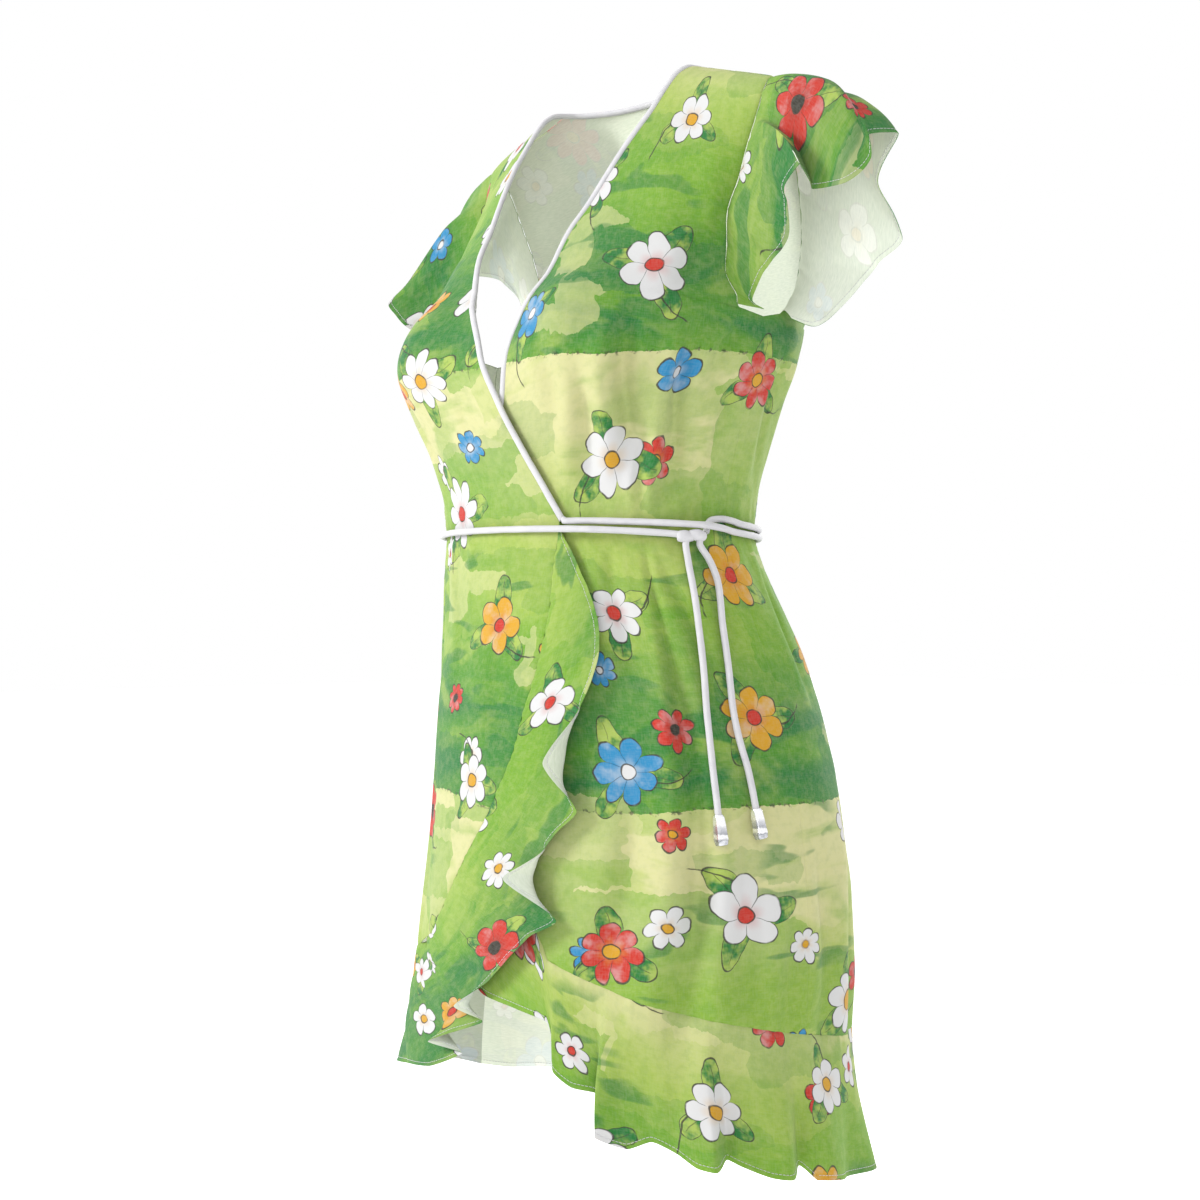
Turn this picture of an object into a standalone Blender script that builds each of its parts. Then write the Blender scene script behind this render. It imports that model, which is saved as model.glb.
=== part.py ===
"""A short wrap tea dress in its worn shape, with flutter sleeves, a ruffled wrap edge and a cord tie.

Metres, +Z up, the front faces -Y and +X is the wearer's left.  The origin lies midway between the
neck ends of the shoulder seams, where the dress is held.  Every cloth piece is a wall of CLOTH
thickness, laid over one shaped form: a ring for each height, worked out from the section table.
A place on the form is given by its angle (degrees, 0 at the centre front, + to the wearer's left,
180 at the centre back), its level (height) and how far it stands out from the form.
"""
import math
from collections import namedtuple
from functools import lru_cache

import bpy
import numpy as np

# ---------------------------------------------------------------- driving sizes
CLOTH = 0.0016            # thickness of the cloth walls
FLUTTER_CLOTH = 0.0012    # the same for flounces and sleeves
SEAM_GAP = 0.0003         # space left between two pieces at a seam
LAYER = 0.0048            # how far the top front lies outside the under front
NECK_HALF = 0.085         # neck end of a shoulder seam, from the centre
SHOULDER_DROP = 0.030     # fall of the shoulder seam from neck to tip
SHOULDER_LENGTH = 0.085   # shoulder seam, measured across
BACK_NECK_RISE = 0.012    # how far the back neck stands above the shoulder ends
BACK_NECK_LEVEL = -0.014  # level of the back neck edge at the centre back
NECK_BACK = 0.008         # how far the neck ends of the shoulder seams lie behind their tips
UNDERARM = -0.205         # lowest point of the armhole
WAIST = -0.355            # height of the waist
WRAP_CORNER = -0.672      # height where the wrap edge turns into the hem seam
SIDE_HEM = -0.727         # height of the hem seam at the side seams

PIPING_WIDTH = 0.0052     # round piping along the neck edges
PIPING_THICK = 0.0040
CORD = 0.0050             # diameter of the tie cord
CORD_STEP = 0.0150        # space between the points that a cord runs through
TIP_LENGTH = 0.022        # metal ends on the tie
TIP_WIDTH = 0.0090

BUST_OUT = 0.021          # how far the front darts push the bust out
BUST_X = 0.088
BUST_LEVEL = -0.213
BUST_SPREAD_X = 0.040
BUST_SPREAD_Z = 0.056

# ---------------------------------------------------------------- tables
# half: half width at the side; front, back: depth to each side of the side line; middle: how far
# back the side line lies; square_front, square_back: 2 is an ellipse, more is squarer.
Section = namedtuple("Section", "level half_front half_back front back middle square_front square_back")
SECTIONS = [
    Section(0.000, 0.178, 0.178, 0.0003, 0.0003, 0.020, 2.2, 2.2),
    Section(-0.002, 0.178, 0.178, 0.0100, 0.0120, 0.020, 2.2, 2.2),
    Section(-0.006, 0.177, 0.178, 0.0180, 0.0220, 0.020, 2.2, 2.2),
    Section(-0.012, 0.176, 0.178, 0.0255, 0.0330, 0.020, 2.2, 2.2),
    Section(-0.025, 0.173, 0.177, 0.0340, 0.0480, 0.020, 2.3, 2.3),
    Section(-0.043, 0.170, 0.175, 0.0430, 0.0600, 0.020, 2.4, 2.4),
    Section(-0.083, 0.1635, 0.171, 0.0670, 0.0790, 0.020, 2.6, 2.6),
    Section(-0.117, 0.159, 0.168, 0.0840, 0.0900, 0.020, 3.0, 2.7),
    Section(-0.143, 0.1568, 0.166, 0.1000, 0.0960, 0.020, 3.0, 2.7),
    Section(-0.170, 0.158, 0.164, 0.1100, 0.1000, 0.019, 3.0, 2.7),
    Section(-0.190, 0.161, 0.163, 0.1230, 0.1020, 0.018, 3.0, 2.7),
    Section(-0.205, 0.1635, 0.1635, 0.1285, 0.1010, 0.017, 2.9, 2.7),
    Section(-0.230, 0.164, 0.164, 0.1330, 0.0970, 0.014, 2.6, 2.6),
    Section(-0.265, 0.156, 0.156, 0.1260, 0.0930, 0.009, 2.4, 2.4),
    Section(-0.300, 0.149, 0.149, 0.1140, 0.0940, 0.004, 2.2, 2.2),
    Section(-0.330, 0.143, 0.143, 0.1070, 0.0950, 0.001, 2.1, 2.1),
    Section(-0.360, 0.1410, 0.1410, 0.1050, 0.0960, 0.000, 2.0, 2.0),
    Section(-0.387, 0.146, 0.146, 0.1090, 0.1010, 0.003, 2.0, 2.0),
    Section(-0.427, 0.157, 0.157, 0.1170, 0.1100, 0.013, 2.0, 2.0),
    Section(-0.474, 0.168, 0.168, 0.1300, 0.1240, 0.024, 2.0, 2.0),
    Section(-0.522, 0.176, 0.176, 0.1410, 0.1340, 0.032, 2.0, 2.0),
    Section(-0.577, 0.182, 0.182, 0.1500, 0.1400, 0.038, 2.0, 2.0),
    Section(-0.625, 0.186, 0.186, 0.1540, 0.1450, 0.039, 2.0, 2.0),
    Section(-0.696, 0.190, 0.190, 0.1600, 0.1530, 0.035, 2.0, 2.0),
    Section(-0.754, 0.194, 0.194, 0.1640, 0.1580, 0.029, 2.0, 2.0),
    Section(-0.880, 0.203, 0.203, 0.1770, 0.1660, 0.030, 2.0, 2.0),
]

# x of the two wrap edges, from the shoulder to the waist; + is the wearer's left
Edge = namedtuple("Edge", "level x")
RIGHT_EDGE = [
    Edge(0.000, -0.085), Edge(-0.043, -0.083), Edge(-0.083, -0.075), Edge(-0.117, -0.067),
    Edge(-0.143, -0.058), Edge(-0.1685, -0.047), Edge(-0.204, -0.020), Edge(-0.229, 0.001),
    Edge(-0.265, 0.022), Edge(-0.302, 0.039), Edge(WAIST, 0.066),
]
LEFT_EDGE = [
    Edge(0.000, 0.085), Edge(-0.040, 0.083), Edge(-0.076, 0.075), Edge(-0.143, 0.058),
    Edge(-0.188, 0.051), Edge(-0.228, 0.038), Edge(-0.275, 0.022), Edge(-0.315, -0.012),
    Edge(WAIST, -0.060),
]
# the ruffled edge below the waist, of the top front; the under front mirrors it
RUFFLED_EDGE = [
    Edge(WAIST, 0.066), Edge(-0.404, 0.060), Edge(-0.442, 0.053), Edge(-0.466, 0.047),
    Edge(-0.497, 0.037), Edge(-0.528, 0.028), Edge(-0.5676, 0.007), Edge(-0.590, -0.008),
    Edge(-0.613, -0.027), Edge(-0.645, -0.050), Edge(WRAP_CORNER, -0.070),
]
# level of the hem seam round the skirt, by the angle from the centre front
HemSeam = namedtuple("HemSeam", "angle level")
HEM_SEAM = [
    HemSeam(20, WRAP_CORNER), HemSeam(35, -0.688), HemSeam(50, -0.702), HemSeam(70, -0.715),
    HemSeam(90, SIDE_HEM), HemSeam(120, -0.742), HemSeam(150, -0.751), HemSeam(180, -0.754),
]
# |x| of the armhole edge on the front and the back
Armhole = namedtuple("Armhole", "level front back")
ARMHOLE = [
    Armhole(0.000, 0.170, 0.170), Armhole(-0.030, 0.166, 0.168), Armhole(-0.060, 0.162, 0.165),
    Armhole(-0.090, 0.159, 0.162), Armhole(-0.138, 0.155, 0.159), Armhole(-0.170, 0.1565, 0.159),
    Armhole(-0.190, 0.1605, 0.161), Armhole(UNDERARM, 0.1635, 0.1635),
]

# The flounces, a row for each crest, hollow or fold: along is the share of the seam, bend is the
# place that the cloth is drawn towards half way down (where a flap turns back, it lies beyond the
# free edge), angle and level are those of the free edge, and out is how far each stands off.
Ruffle = namedtuple("Ruffle", "along bend_angle bend_level bend_out angle level out")
RIGHT_RUFFLE = [
    Ruffle(0.000, 28.0, -0.3600, 0.0048, 28.6, -0.3628, 0.0048),
    Ruffle(0.050, 29.5, -0.3810, 0.0052, 32.5, -0.3804, 0.0055),
    Ruffle(0.100, 30.0, -0.4060, 0.0058, 35.9, -0.4036, 0.0065),
    Ruffle(0.155, 29.0, -0.4310, 0.0070, 37.3, -0.4271, 0.0080),
    Ruffle(0.200, 27.5, -0.4530, 0.0080, 37.1, -0.4478, 0.0100),
    Ruffle(0.235, 26.5, -0.4750, 0.0080, 34.5, -0.4701, 0.0120),
    Ruffle(0.265, 32.8, -0.4851, 0.0070, 30.7, -0.4932, 0.0140),
    Ruffle(0.305, 35.7, -0.5150, 0.0060, 22.4, -0.5310, 0.0220),
    Ruffle(0.350, 21.4, -0.5581, 0.0070, 29.9, -0.5648, 0.0130),
    Ruffle(0.380, 16.0, -0.5800, 0.0090, 24.7, -0.5806, 0.0120),
    Ruffle(0.395, 24.4, -0.5902, 0.0060, 20.5, -0.5965, 0.0120),
    Ruffle(0.425, 30.6, -0.6084, 0.0060, 12.6, -0.6164, 0.0220),
    Ruffle(0.470, 15.9, -0.6321, 0.0070, 25.6, -0.6446, 0.0125),
    Ruffle(0.500, 4.0, -0.6450, 0.0090, 19.4, -0.6571, 0.0140),
    Ruffle(0.530, -1.0, -0.6620, 0.0080, 14.4, -0.6741, 0.0140),
    Ruffle(0.560, 6.0, -0.6775, 0.0070, 10.4, -0.6915, 0.0160),
    Ruffle(0.590, 15.9, -0.6934, 0.0060, 2.1, -0.7164, 0.0220),
    Ruffle(0.620, -6.0, -0.7050, 0.0070, 9.8, -0.7230, 0.0150),
    Ruffle(0.650, 6.0, -0.7217, 0.0060, -4.6, -0.7448, 0.0240),
    Ruffle(0.680, -14.0, -0.7240, 0.0065, 3.5, -0.7480, 0.0105),
    Ruffle(0.720, -25.0, -0.7260, 0.0060, -6.8, -0.7644, 0.0140),
    Ruffle(0.760, -36.0, -0.7330, 0.0060, -20.3, -0.7734, 0.0120),
    Ruffle(0.800, -46.0, -0.7450, 0.0060, -34.0, -0.7850, 0.0020),
    Ruffle(0.850, -60.0, -0.7570, 0.0080, -52.0, -0.7990, 0.0160),
    Ruffle(0.910, -72.0, -0.7680, 0.0040, -69.0, -0.8120, 0.0000),
    Ruffle(0.960, -82.0, -0.7750, 0.0070, -81.0, -0.8200, 0.0130),
    Ruffle(1.000, -89.9, -0.7790, 0.0050, -89.9, -0.8290, 0.0060),
]
LEFT_RUFFLE = [
    Ruffle(0.000, -28.4, -0.3590, 0.0000, -29.2, -0.3628, 0.0000),
    Ruffle(0.100, -30.0, -0.4050, 0.0000, -36.0, -0.4000, 0.0000),
    Ruffle(0.250, -26.0, -0.4850, 0.0000, -36.0, -0.4850, 0.0000),
    Ruffle(0.400, -14.0, -0.5750, 0.0000, -26.0, -0.5900, 0.0000),
    Ruffle(0.460, -8.0, -0.6250, 0.0000, -12.0, -0.6650, 0.0000),
    Ruffle(0.490, 4.0, -0.6500, 0.0020, 5.5, -0.7050, 0.0060),
    Ruffle(0.520, 12.0, -0.6650, 0.0020, 15.8, -0.7106, 0.0050),
    Ruffle(0.545, 19.0, -0.6800, 0.0035, 24.2, -0.7162, 0.0045),
    Ruffle(0.567, 22.6, -0.6940, 0.0040, 26.8, -0.7330, 0.0040),
    Ruffle(0.592, 26.0, -0.7090, 0.0060, 27.6, -0.7487, 0.0095),
    Ruffle(0.615, 30.0, -0.7170, 0.0050, 32.0, -0.7577, 0.0080),
    Ruffle(0.640, 33.0, -0.7200, 0.0020, 37.0, -0.7607, 0.0020),
    Ruffle(0.660, 36.0, -0.7300, 0.0020, 40.1, -0.7737, -0.0020),
    Ruffle(0.685, 37.0, -0.7400, 0.0100, 37.8, -0.7885, 0.0160),
    Ruffle(0.710, 42.0, -0.7450, 0.0040, 44.2, -0.7971, 0.0060),
    Ruffle(0.740, 47.0, -0.7500, 0.0020, 49.5, -0.7918, 0.0020),
    Ruffle(0.770, 53.0, -0.7550, 0.0040, 55.1, -0.7995, 0.0060),
    Ruffle(0.800, 58.0, -0.7600, 0.0080, 59.2, -0.8080, 0.0140),
    Ruffle(0.825, 62.0, -0.7620, 0.0100, 62.9, -0.8102, 0.0180),
    Ruffle(0.850, 66.0, -0.7630, 0.0000, 66.9, -0.8065, -0.0040),
    Ruffle(0.880, 70.0, -0.7660, 0.0030, 70.0, -0.8110, 0.0040),
    Ruffle(0.915, 75.5, -0.7700, 0.0080, 76.0, -0.8189, 0.0120),
    Ruffle(0.945, 80.5, -0.7730, 0.0090, 80.7, -0.8217, 0.0160),
    Ruffle(0.975, 86.0, -0.7740, 0.0000, 87.0, -0.8180, -0.0030),
    Ruffle(1.000, 89.9, -0.7790, 0.0030, 89.9, -0.8290, 0.0060),
]
RIGHT_RUFFLE_ROWS = [-1.0, -0.6, -0.32, -0.16, -0.06, 0.06, 0.16, 0.32, 0.6, 1.0]
LEFT_RUFFLE_ROWS = [-1.0, -0.5, 0.0, 0.5, 1.0]
BACK_WAVES = 7            # ripples of the back flounce
BACK_FLOUNCE = 0.103      # its depth
BACK_WAVE_OUT = 0.006     # middle stand-off of its free edge
BACK_WAVE_HEIGHT = 0.008  # height of a ripple above and below that

SLEEVE_END = 0.015        # share of the armhole from the underarm to either end of a sleeve
SLEEVE_SWELL = 0.35       # how far a sleeve bulges, as a share of its depth
# free edge of the sleeves: along runs from the underarm up the front, over the shoulder and
# down the back; x is towards the arm on either side, y back, z up, from the origin
Flutter = namedtuple("Flutter", "along x y z")
LEFT_FLUTTER = [
    Flutter(0.00, 0.172, 0.013, -0.2030), Flutter(0.07, 0.1690, 0.000, -0.196),
    Flutter(0.15, 0.180, 0.000, -0.178), Flutter(0.25, 0.204, 0.001, -0.155),
    Flutter(0.31, 0.207, -0.004, -0.132), Flutter(0.35, 0.208, -0.008, -0.123),
    Flutter(0.39, 0.223, -0.008, -0.110), Flutter(0.42, 0.212, 0.016, -0.121),
    Flutter(0.455, 0.245, 0.0123, -0.125), Flutter(0.49, 0.262, 0.022, -0.108),
    Flutter(0.515, 0.258, 0.024, -0.092), Flutter(0.56, 0.266, 0.045, -0.088),
    Flutter(0.63, 0.236, 0.060, -0.116), Flutter(0.68, 0.233, 0.090, -0.150),
    Flutter(0.75, 0.210, 0.090, -0.164), Flutter(0.82, 0.202, 0.082, -0.178),
    Flutter(0.89, 0.195, 0.062, -0.200), Flutter(0.95, 0.190, 0.042, -0.213),
    Flutter(1.00, 0.178, 0.020, -0.2050),
]
RIGHT_FLUTTER = [
    Flutter(0.00, 0.172, 0.013, -0.2030), Flutter(0.07, 0.1700, -0.004, -0.196),
    Flutter(0.15, 0.187, -0.030, -0.186), Flutter(0.25, 0.207, -0.056, -0.166),
    Flutter(0.31, 0.226, -0.056, -0.150), Flutter(0.36, 0.235, -0.036, -0.136),
    Flutter(0.41, 0.236, -0.010, -0.124), Flutter(0.45, 0.242, 0.018, -0.117),
    Flutter(0.50, 0.255, 0.035, -0.108), Flutter(0.56, 0.250, 0.058, -0.105),
    Flutter(0.63, 0.224, 0.068, -0.114), Flutter(0.69, 0.230, 0.094, -0.130),
    Flutter(0.75, 0.210, 0.095, -0.152), Flutter(0.82, 0.202, 0.082, -0.174),
    Flutter(0.89, 0.195, 0.062, -0.198), Flutter(0.95, 0.190, 0.042, -0.208),
    Flutter(1.00, 0.178, 0.020, -0.2050),
]

# the tie cords round the waist, in angle, level and how far the middle of the cord stands out
Lay = namedtuple("Lay", "angle level out")
TIE_RIGHT_LAY = [
    Lay(30.5, -0.3545, 0.0078), Lay(36.0, -0.3546, 0.0056), Lay(50.0, -0.3556, 0.0042),
    Lay(62.0, -0.3566, 0.0060), Lay(70.0, -0.3575, 0.0096), Lay(79.0, -0.3588, 0.0114),
    Lay(86.0, -0.3608, 0.0084), Lay(95.0, -0.3630, 0.0042), Lay(120.0, -0.3650, 0.0040),
    Lay(180.0, -0.3655, 0.0040), Lay(240.0, -0.3640, 0.0040), Lay(270.0, -0.3615, 0.0042),
    Lay(295.0, -0.3590, 0.0088), Lay(330.0, -0.3585, 0.0090), Lay(360.0, -0.3592, 0.0090),
    Lay(386.0, -0.3604, 0.0094), Lay(396.0, -0.3612, 0.0092), Lay(408.0, -0.3625, 0.0060),
    Lay(424.0, -0.3650, 0.0070),
]
TIE_LEFT_LAY = [
    Lay(266.0, -0.3555, 0.0040), Lay(240.0, -0.3575, 0.0040), Lay(180.0, -0.3592, 0.0040),
    Lay(120.0, -0.3580, 0.0040), Lay(97.0, -0.3560, 0.0040), Lay(88.0, -0.3530, 0.0038),
    Lay(82.0, -0.3536, 0.0037), Lay(78.9, -0.3600, 0.0038), Lay(78.4, -0.3640, 0.0060),
]
TAIL_FRONT_LAY = [
    Lay(69.4, -0.3745, 0.0090), Lay(69.5, -0.3915, 0.0056), Lay(66.3, -0.4391, 0.0048),
    Lay(63.5, -0.5016, 0.0048), Lay(63.3, -0.5341, 0.0048), Lay(63.5, -0.5655, 0.0054),
]
TAIL_BACK_LAY = [
    Lay(74.5, -0.3745, 0.0090), Lay(77.6, -0.3850, 0.0060), Lay(78.6, -0.4004, 0.0050),
    Lay(75.2, -0.4278, 0.0048), Lay(71.5, -0.4906, 0.0048), Lay(71.5, -0.5062, 0.0048),
    Lay(73.2, -0.5376, 0.0048), Lay(73.8, -0.5620, 0.0054),
]
KNOT = Lay(71.7, -0.3675, 0.0082)
KNOT_LENGTH = 0.027
KNOT_HEIGHT = 0.0095
KNOT_THICK = 0.0100


# ---------------------------------------------------------------- reading the tables
def smooth(rows, at):
    """The row of a table at any key, on a curve through its rows that never overshoots."""
    keys = [row[0] for row in rows]
    if keys[0] > keys[-1]:
        keys, rows, at = [-key for key in keys], rows, -at
    at = min(max(at, keys[0]), keys[-1])
    last = len(keys) - 1
    low = max(index for index in range(last) if keys[index] <= at)
    span = [keys[index + 1] - keys[index] for index in range(last)]
    share = (at - keys[low]) / span[low]
    values = np.array([row[1:] for row in rows], dtype=float)
    slopes = (values[1:] - values[:-1]) / np.array(span)[:, None]

    def tangent(index):
        if index == 0:
            return slopes[0]
        if index == last:
            return slopes[-1]
        before, after = slopes[index - 1], slopes[index]
        same = before * after > 0
        total = np.where(same, before + after, 1.0)
        return np.where(same, 2 * before * after / total, 0.0)

    s2, s3 = share ** 2, share ** 3
    return (values[low] * (2 * s3 - 3 * s2 + 1) + values[low + 1] * (3 * s2 - 2 * s3)
            + tangent(low) * span[low] * (s3 - 2 * s2 + share)
            + tangent(low + 1) * span[low] * (s3 - s2))


def ease(value, start, end):
    """0 before start, 1 after end, a smooth step between them."""
    share = min(max((value - start) / (end - start), 0.0), 1.0)
    return share * share * (3 - 2 * share)


def mix(start, end, share):
    return start + (end - start) * share


# ---------------------------------------------------------------- the form
@lru_cache(maxsize=None)
def section(level):
    return Section(level, *smooth(SECTIONS, level))


def shoulder_line(x):
    """How far the shoulder line lies above the neck ends of the shoulder seams."""
    if abs(x) < NECK_HALF:
        return BACK_NECK_RISE * (1 - (x / NECK_HALF) ** 2)
    return -SHOULDER_DROP * (abs(x) - NECK_HALF) / SHOULDER_LENGTH


@lru_cache(maxsize=None)
def bare_form(angle, level):
    """A point of the form itself."""
    ring = section(level)
    turn = math.radians(angle)
    s, c = math.sin(turn), math.cos(turn)
    front = c >= 0
    square = ring.square_front if front else ring.square_back
    reach = (abs(s) ** square + abs(c) ** square) ** (-1 / square)
    x = (ring.half_front if front else ring.half_back) * reach * s
    y = ring.middle - (ring.front if front else ring.back) * reach * c
    y += NECK_BACK * ease(-abs(x), -0.165, -NECK_HALF) * ease(level, -0.060, 0.0)
    z = level + shoulder_line(x) * ease(level, UNDERARM, 0.0)
    if front:
        push = BUST_OUT * math.exp(-((level - BUST_LEVEL) / BUST_SPREAD_Z) ** 2)
        push *= math.exp(-((abs(x) - BUST_X) / BUST_SPREAD_X) ** 2)
        x += 0.30 * push * math.copysign(min(1.0, abs(x) / BUST_X), x)
        y -= 0.95 * push
    return np.array((x, y, z))


def form(angle, level, out=0.0):
    """A point that stands out from the form, square to it."""
    point = bare_form(angle, level)
    if out == 0.0:
        return point
    low = min(level + 0.0015, -0.0002)
    across = bare_form(angle + 0.4, level) - bare_form(angle - 0.4, level)
    up = bare_form(angle, low) - bare_form(angle, low - 0.003)
    normal = np.cross(across, up)
    return point + normal * (out / np.linalg.norm(normal))


def angle_at(x, level, back=False):
    """The angle at which the form has this x."""
    ring = section(level)
    half = ring.half_back if back else ring.half_front
    square = ring.square_back if back else ring.square_front
    share = min(abs(x) / half, 1.0)
    turn = math.degrees(math.atan2(share, (1 - share ** square) ** (1 / square)))
    if back:
        turn = 180 - turn
    return math.copysign(turn, x)


def top_layer(angle, level):
    """How far the top front stands out, where it lies over the under front."""
    return LAYER * ease(angle, -86, -62) * ease(-level, 0.190, 0.245)


# ---------------------------------------------------------------- edges of the panels
# Rows of a panel: share of the way from the shoulder to the underarm, to the waist, to the hem.
SHOULDER_ROWS = [0.0, 0.012, 0.035, 0.08, 0.16, 0.27, 0.40, 0.54, 0.68, 0.80, 0.89, 0.96]
BODICE_ROWS = [0.0, 0.18, 0.36, 0.54, 0.71, 0.87]
SKIRT_ROWS = [0.0, 0.025, 0.05, 0.09, 0.16, 0.25, 0.35, 0.45, 0.55, 0.65, 0.75, 0.85, 0.93, 1.0]
PANEL_ROWS = SHOULDER_ROWS + [1 + row for row in BODICE_ROWS] + [2 + row for row in SKIRT_ROWS]
FRONT_COLUMNS = [index / 15 for index in range(16)]
NECK_SHARES = (-1.0, -0.93, -0.84, -0.70, -0.52, -0.32, -0.11, 0.11, 0.32, 0.52, 0.70, 0.84, 0.93, 1.0)
SIDE_SHARES = (0.22, 0.44, 0.66, 0.84)        # of the back, between the neck and the armhole
NECK_AT_UNDERARM = -0.190     # level that the neck edge has in the row that ends at the underarm
HALF_GAP = SEAM_GAP / 2


def gap_angle(level):
    """Half a seam gap at the side seams, as an angle."""
    return math.degrees(HALF_GAP / section(level).half_front)


def front_place(side, across, row):
    """Angle and level in a front panel; across is 0 at the wrap edge and 1 at the side."""
    edge = LEFT_EDGE if side > 0 else RIGHT_EDGE
    if row <= 1:
        inner = mix(0.0, NECK_AT_UNDERARM, row)
        outer = mix(0.0, UNDERARM, row)
        start = angle_at(smooth(edge, inner)[0], inner)
        end = side * min(angle_at(smooth(ARMHOLE, outer)[0], outer), 90 - gap_angle(outer))
        return mix(start, end, across), mix(inner, outer, across)
    if row <= 2:
        inner = mix(NECK_AT_UNDERARM, WAIST, row - 1)
        outer = mix(UNDERARM, WAIST, row - 1)
        start = angle_at(smooth(edge, inner)[0], inner)
        return mix(start, side * (90 - gap_angle(outer)), across), mix(inner, outer, across)
    down = row - 2
    inner = mix(WAIST, WRAP_CORNER, down)
    outer = mix(WAIST, SIDE_HEM, down)
    start = angle_at(-side * smooth(RUFFLED_EDGE, inner)[0], inner)
    angle = mix(start, side * (90 - gap_angle(outer)), across)
    hem = smooth(HEM_SEAM, abs(angle))[0] - mix(WRAP_CORNER, SIDE_HEM, across)
    return angle, mix(inner, outer, across) + hem * down ** 2


def front_point(side, across, row, lift=0.0):
    angle, level = front_place(side, across, row)
    level = min(level, -0.0001)
    return form(angle, level, lift + (top_layer(angle, level) if side < 0 else 0.0))


def back_place(across, row):
    """Angle and level in the back panel; across is 0 at the left side and 1 at the right."""
    turn = 2 * across - 1
    if row <= 1:
        outer = mix(0.0, UNDERARM, row)
        edge = angle_at(smooth(ARMHOLE, outer)[1], outer, back=True)
        edge = max(edge, 90 + gap_angle(outer))
        neck = 180 - angle_at(NECK_HALF, outer, back=True)
        inner = mix(BACK_NECK_LEVEL, UNDERARM, row)
        angle = 180 + turn * (180 - edge)
        scoop = max(0.0, 1 - (abs(turn) * (180 - edge) / max(neck, 1.0)) ** 2)
        return angle, outer + (inner - outer) * scoop
    angle = 180 + turn * (90 - gap_angle(UNDERARM))
    if row <= 2:
        return angle, mix(UNDERARM, WAIST, row - 1)
    hem = smooth(HEM_SEAM, 180 - abs(angle - 180))[0]
    return angle, mix(WAIST, hem, row - 2)


def back_point(across, row, lift=0.0):
    angle, level = back_place(across, row)
    return form(angle, min(level, -0.0001), lift)


def back_columns():
    """Shares across the back, with one at each end of the neck."""
    neck = 180 - angle_at(NECK_HALF, 0.0, back=True)
    whole = 180 - angle_at(smooth(ARMHOLE, 0.0)[1], 0.0, back=True)
    turns = [share * neck / whole for share in NECK_SHARES]
    for share in SIDE_SHARES:
        turns += [mix(1.0, neck / whole, share), -mix(1.0, neck / whole, share)]
    return sorted((turn + 1) / 2 for turn in turns + [-1.0, 1.0])


BACK_COLUMNS = back_columns()


# ---------------------------------------------------------------- mesh makers
def new_object(name, vertices, faces, finish):
    mesh = bpy.data.meshes.new(name)
    mesh.from_pydata([tuple(vertex) for vertex in vertices], [], faces)
    mesh.materials.append(finish)
    mesh.shade_smooth()
    mesh.set_sharp_from_angle(angle=math.radians(50))
    piece = bpy.data.objects.new(name, mesh)
    bpy.context.collection.objects.link(piece)
    return piece


def wall(name, surface, columns, rows, finish, thickness=CLOTH, facing=None):
    """A closed cloth wall round the middle surface(across, row); facing gives its way out, else it
    faces the side from which columns run to the left and rows run down."""
    middle = np.array([[surface(across, row) for across in columns] for row in rows])
    if facing:
        square = np.array([[facing(across, row) for across in columns] for row in rows])
    else:
        # each corner takes the mean of the facets round it
        facets = np.cross(middle[:-1, 1:] - middle[1:, :-1], middle[1:, 1:] - middle[:-1, :-1])
        facets /= np.linalg.norm(facets, axis=2)[:, :, None]
        square = np.zeros_like(middle)
        for down, right in ((0, 0), (0, 1), (1, 0), (1, 1)):
            square[down:down + len(rows) - 1, right:right + len(columns) - 1] += facets
        square /= np.linalg.norm(square, axis=2)[:, :, None]
    wide, high = len(columns), len(rows)
    vertices = []
    for sign in (0.5, -0.5):
        for row in range(high):
            for column in range(wide):
                vertices.append(middle[row][column] + square[row][column] * (sign * thickness))
    faces = []
    under = wide * high
    for row in range(high - 1):
        for column in range(wide - 1):
            a = row * wide + column
            b, c, d = a + 1, a + wide + 1, a + wide
            faces.append((a, b, c, d))
            faces.append((c + under, b + under, a + under, d + under))
    rim = [column for column in range(wide)]
    rim += [row * wide + wide - 1 for row in range(1, high)]
    rim += [(high - 1) * wide + column for column in range(wide - 2, -1, -1)]
    rim += [row * wide for row in range(high - 2, 0, -1)]
    for place, a in enumerate(rim):
        b = rim[(place + 1) % len(rim)]
        faces.append((b, a, a + under, b + under))
    return new_object(name, vertices, faces, finish)


def steps(count, start=0.0, end=1.0):
    return [mix(start, end, index / count) for index in range(count + 1)]


def panel(name, place, columns, finish):
    """A wall that faces the same way as the form under it, and square up at the shoulder seam."""
    def facing(across, row):
        out = place(across, row, 0.001) - place(across, row, 0.0)
        seam = row == 0 and abs(place(across, row, 0.0)[0]) > NECK_HALF
        return unit(out * (1, 0, 1) if seam else out)

    wall(name, lambda across, row: place(across, row, 0.0), columns, PANEL_ROWS, finish, facing=facing)


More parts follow.
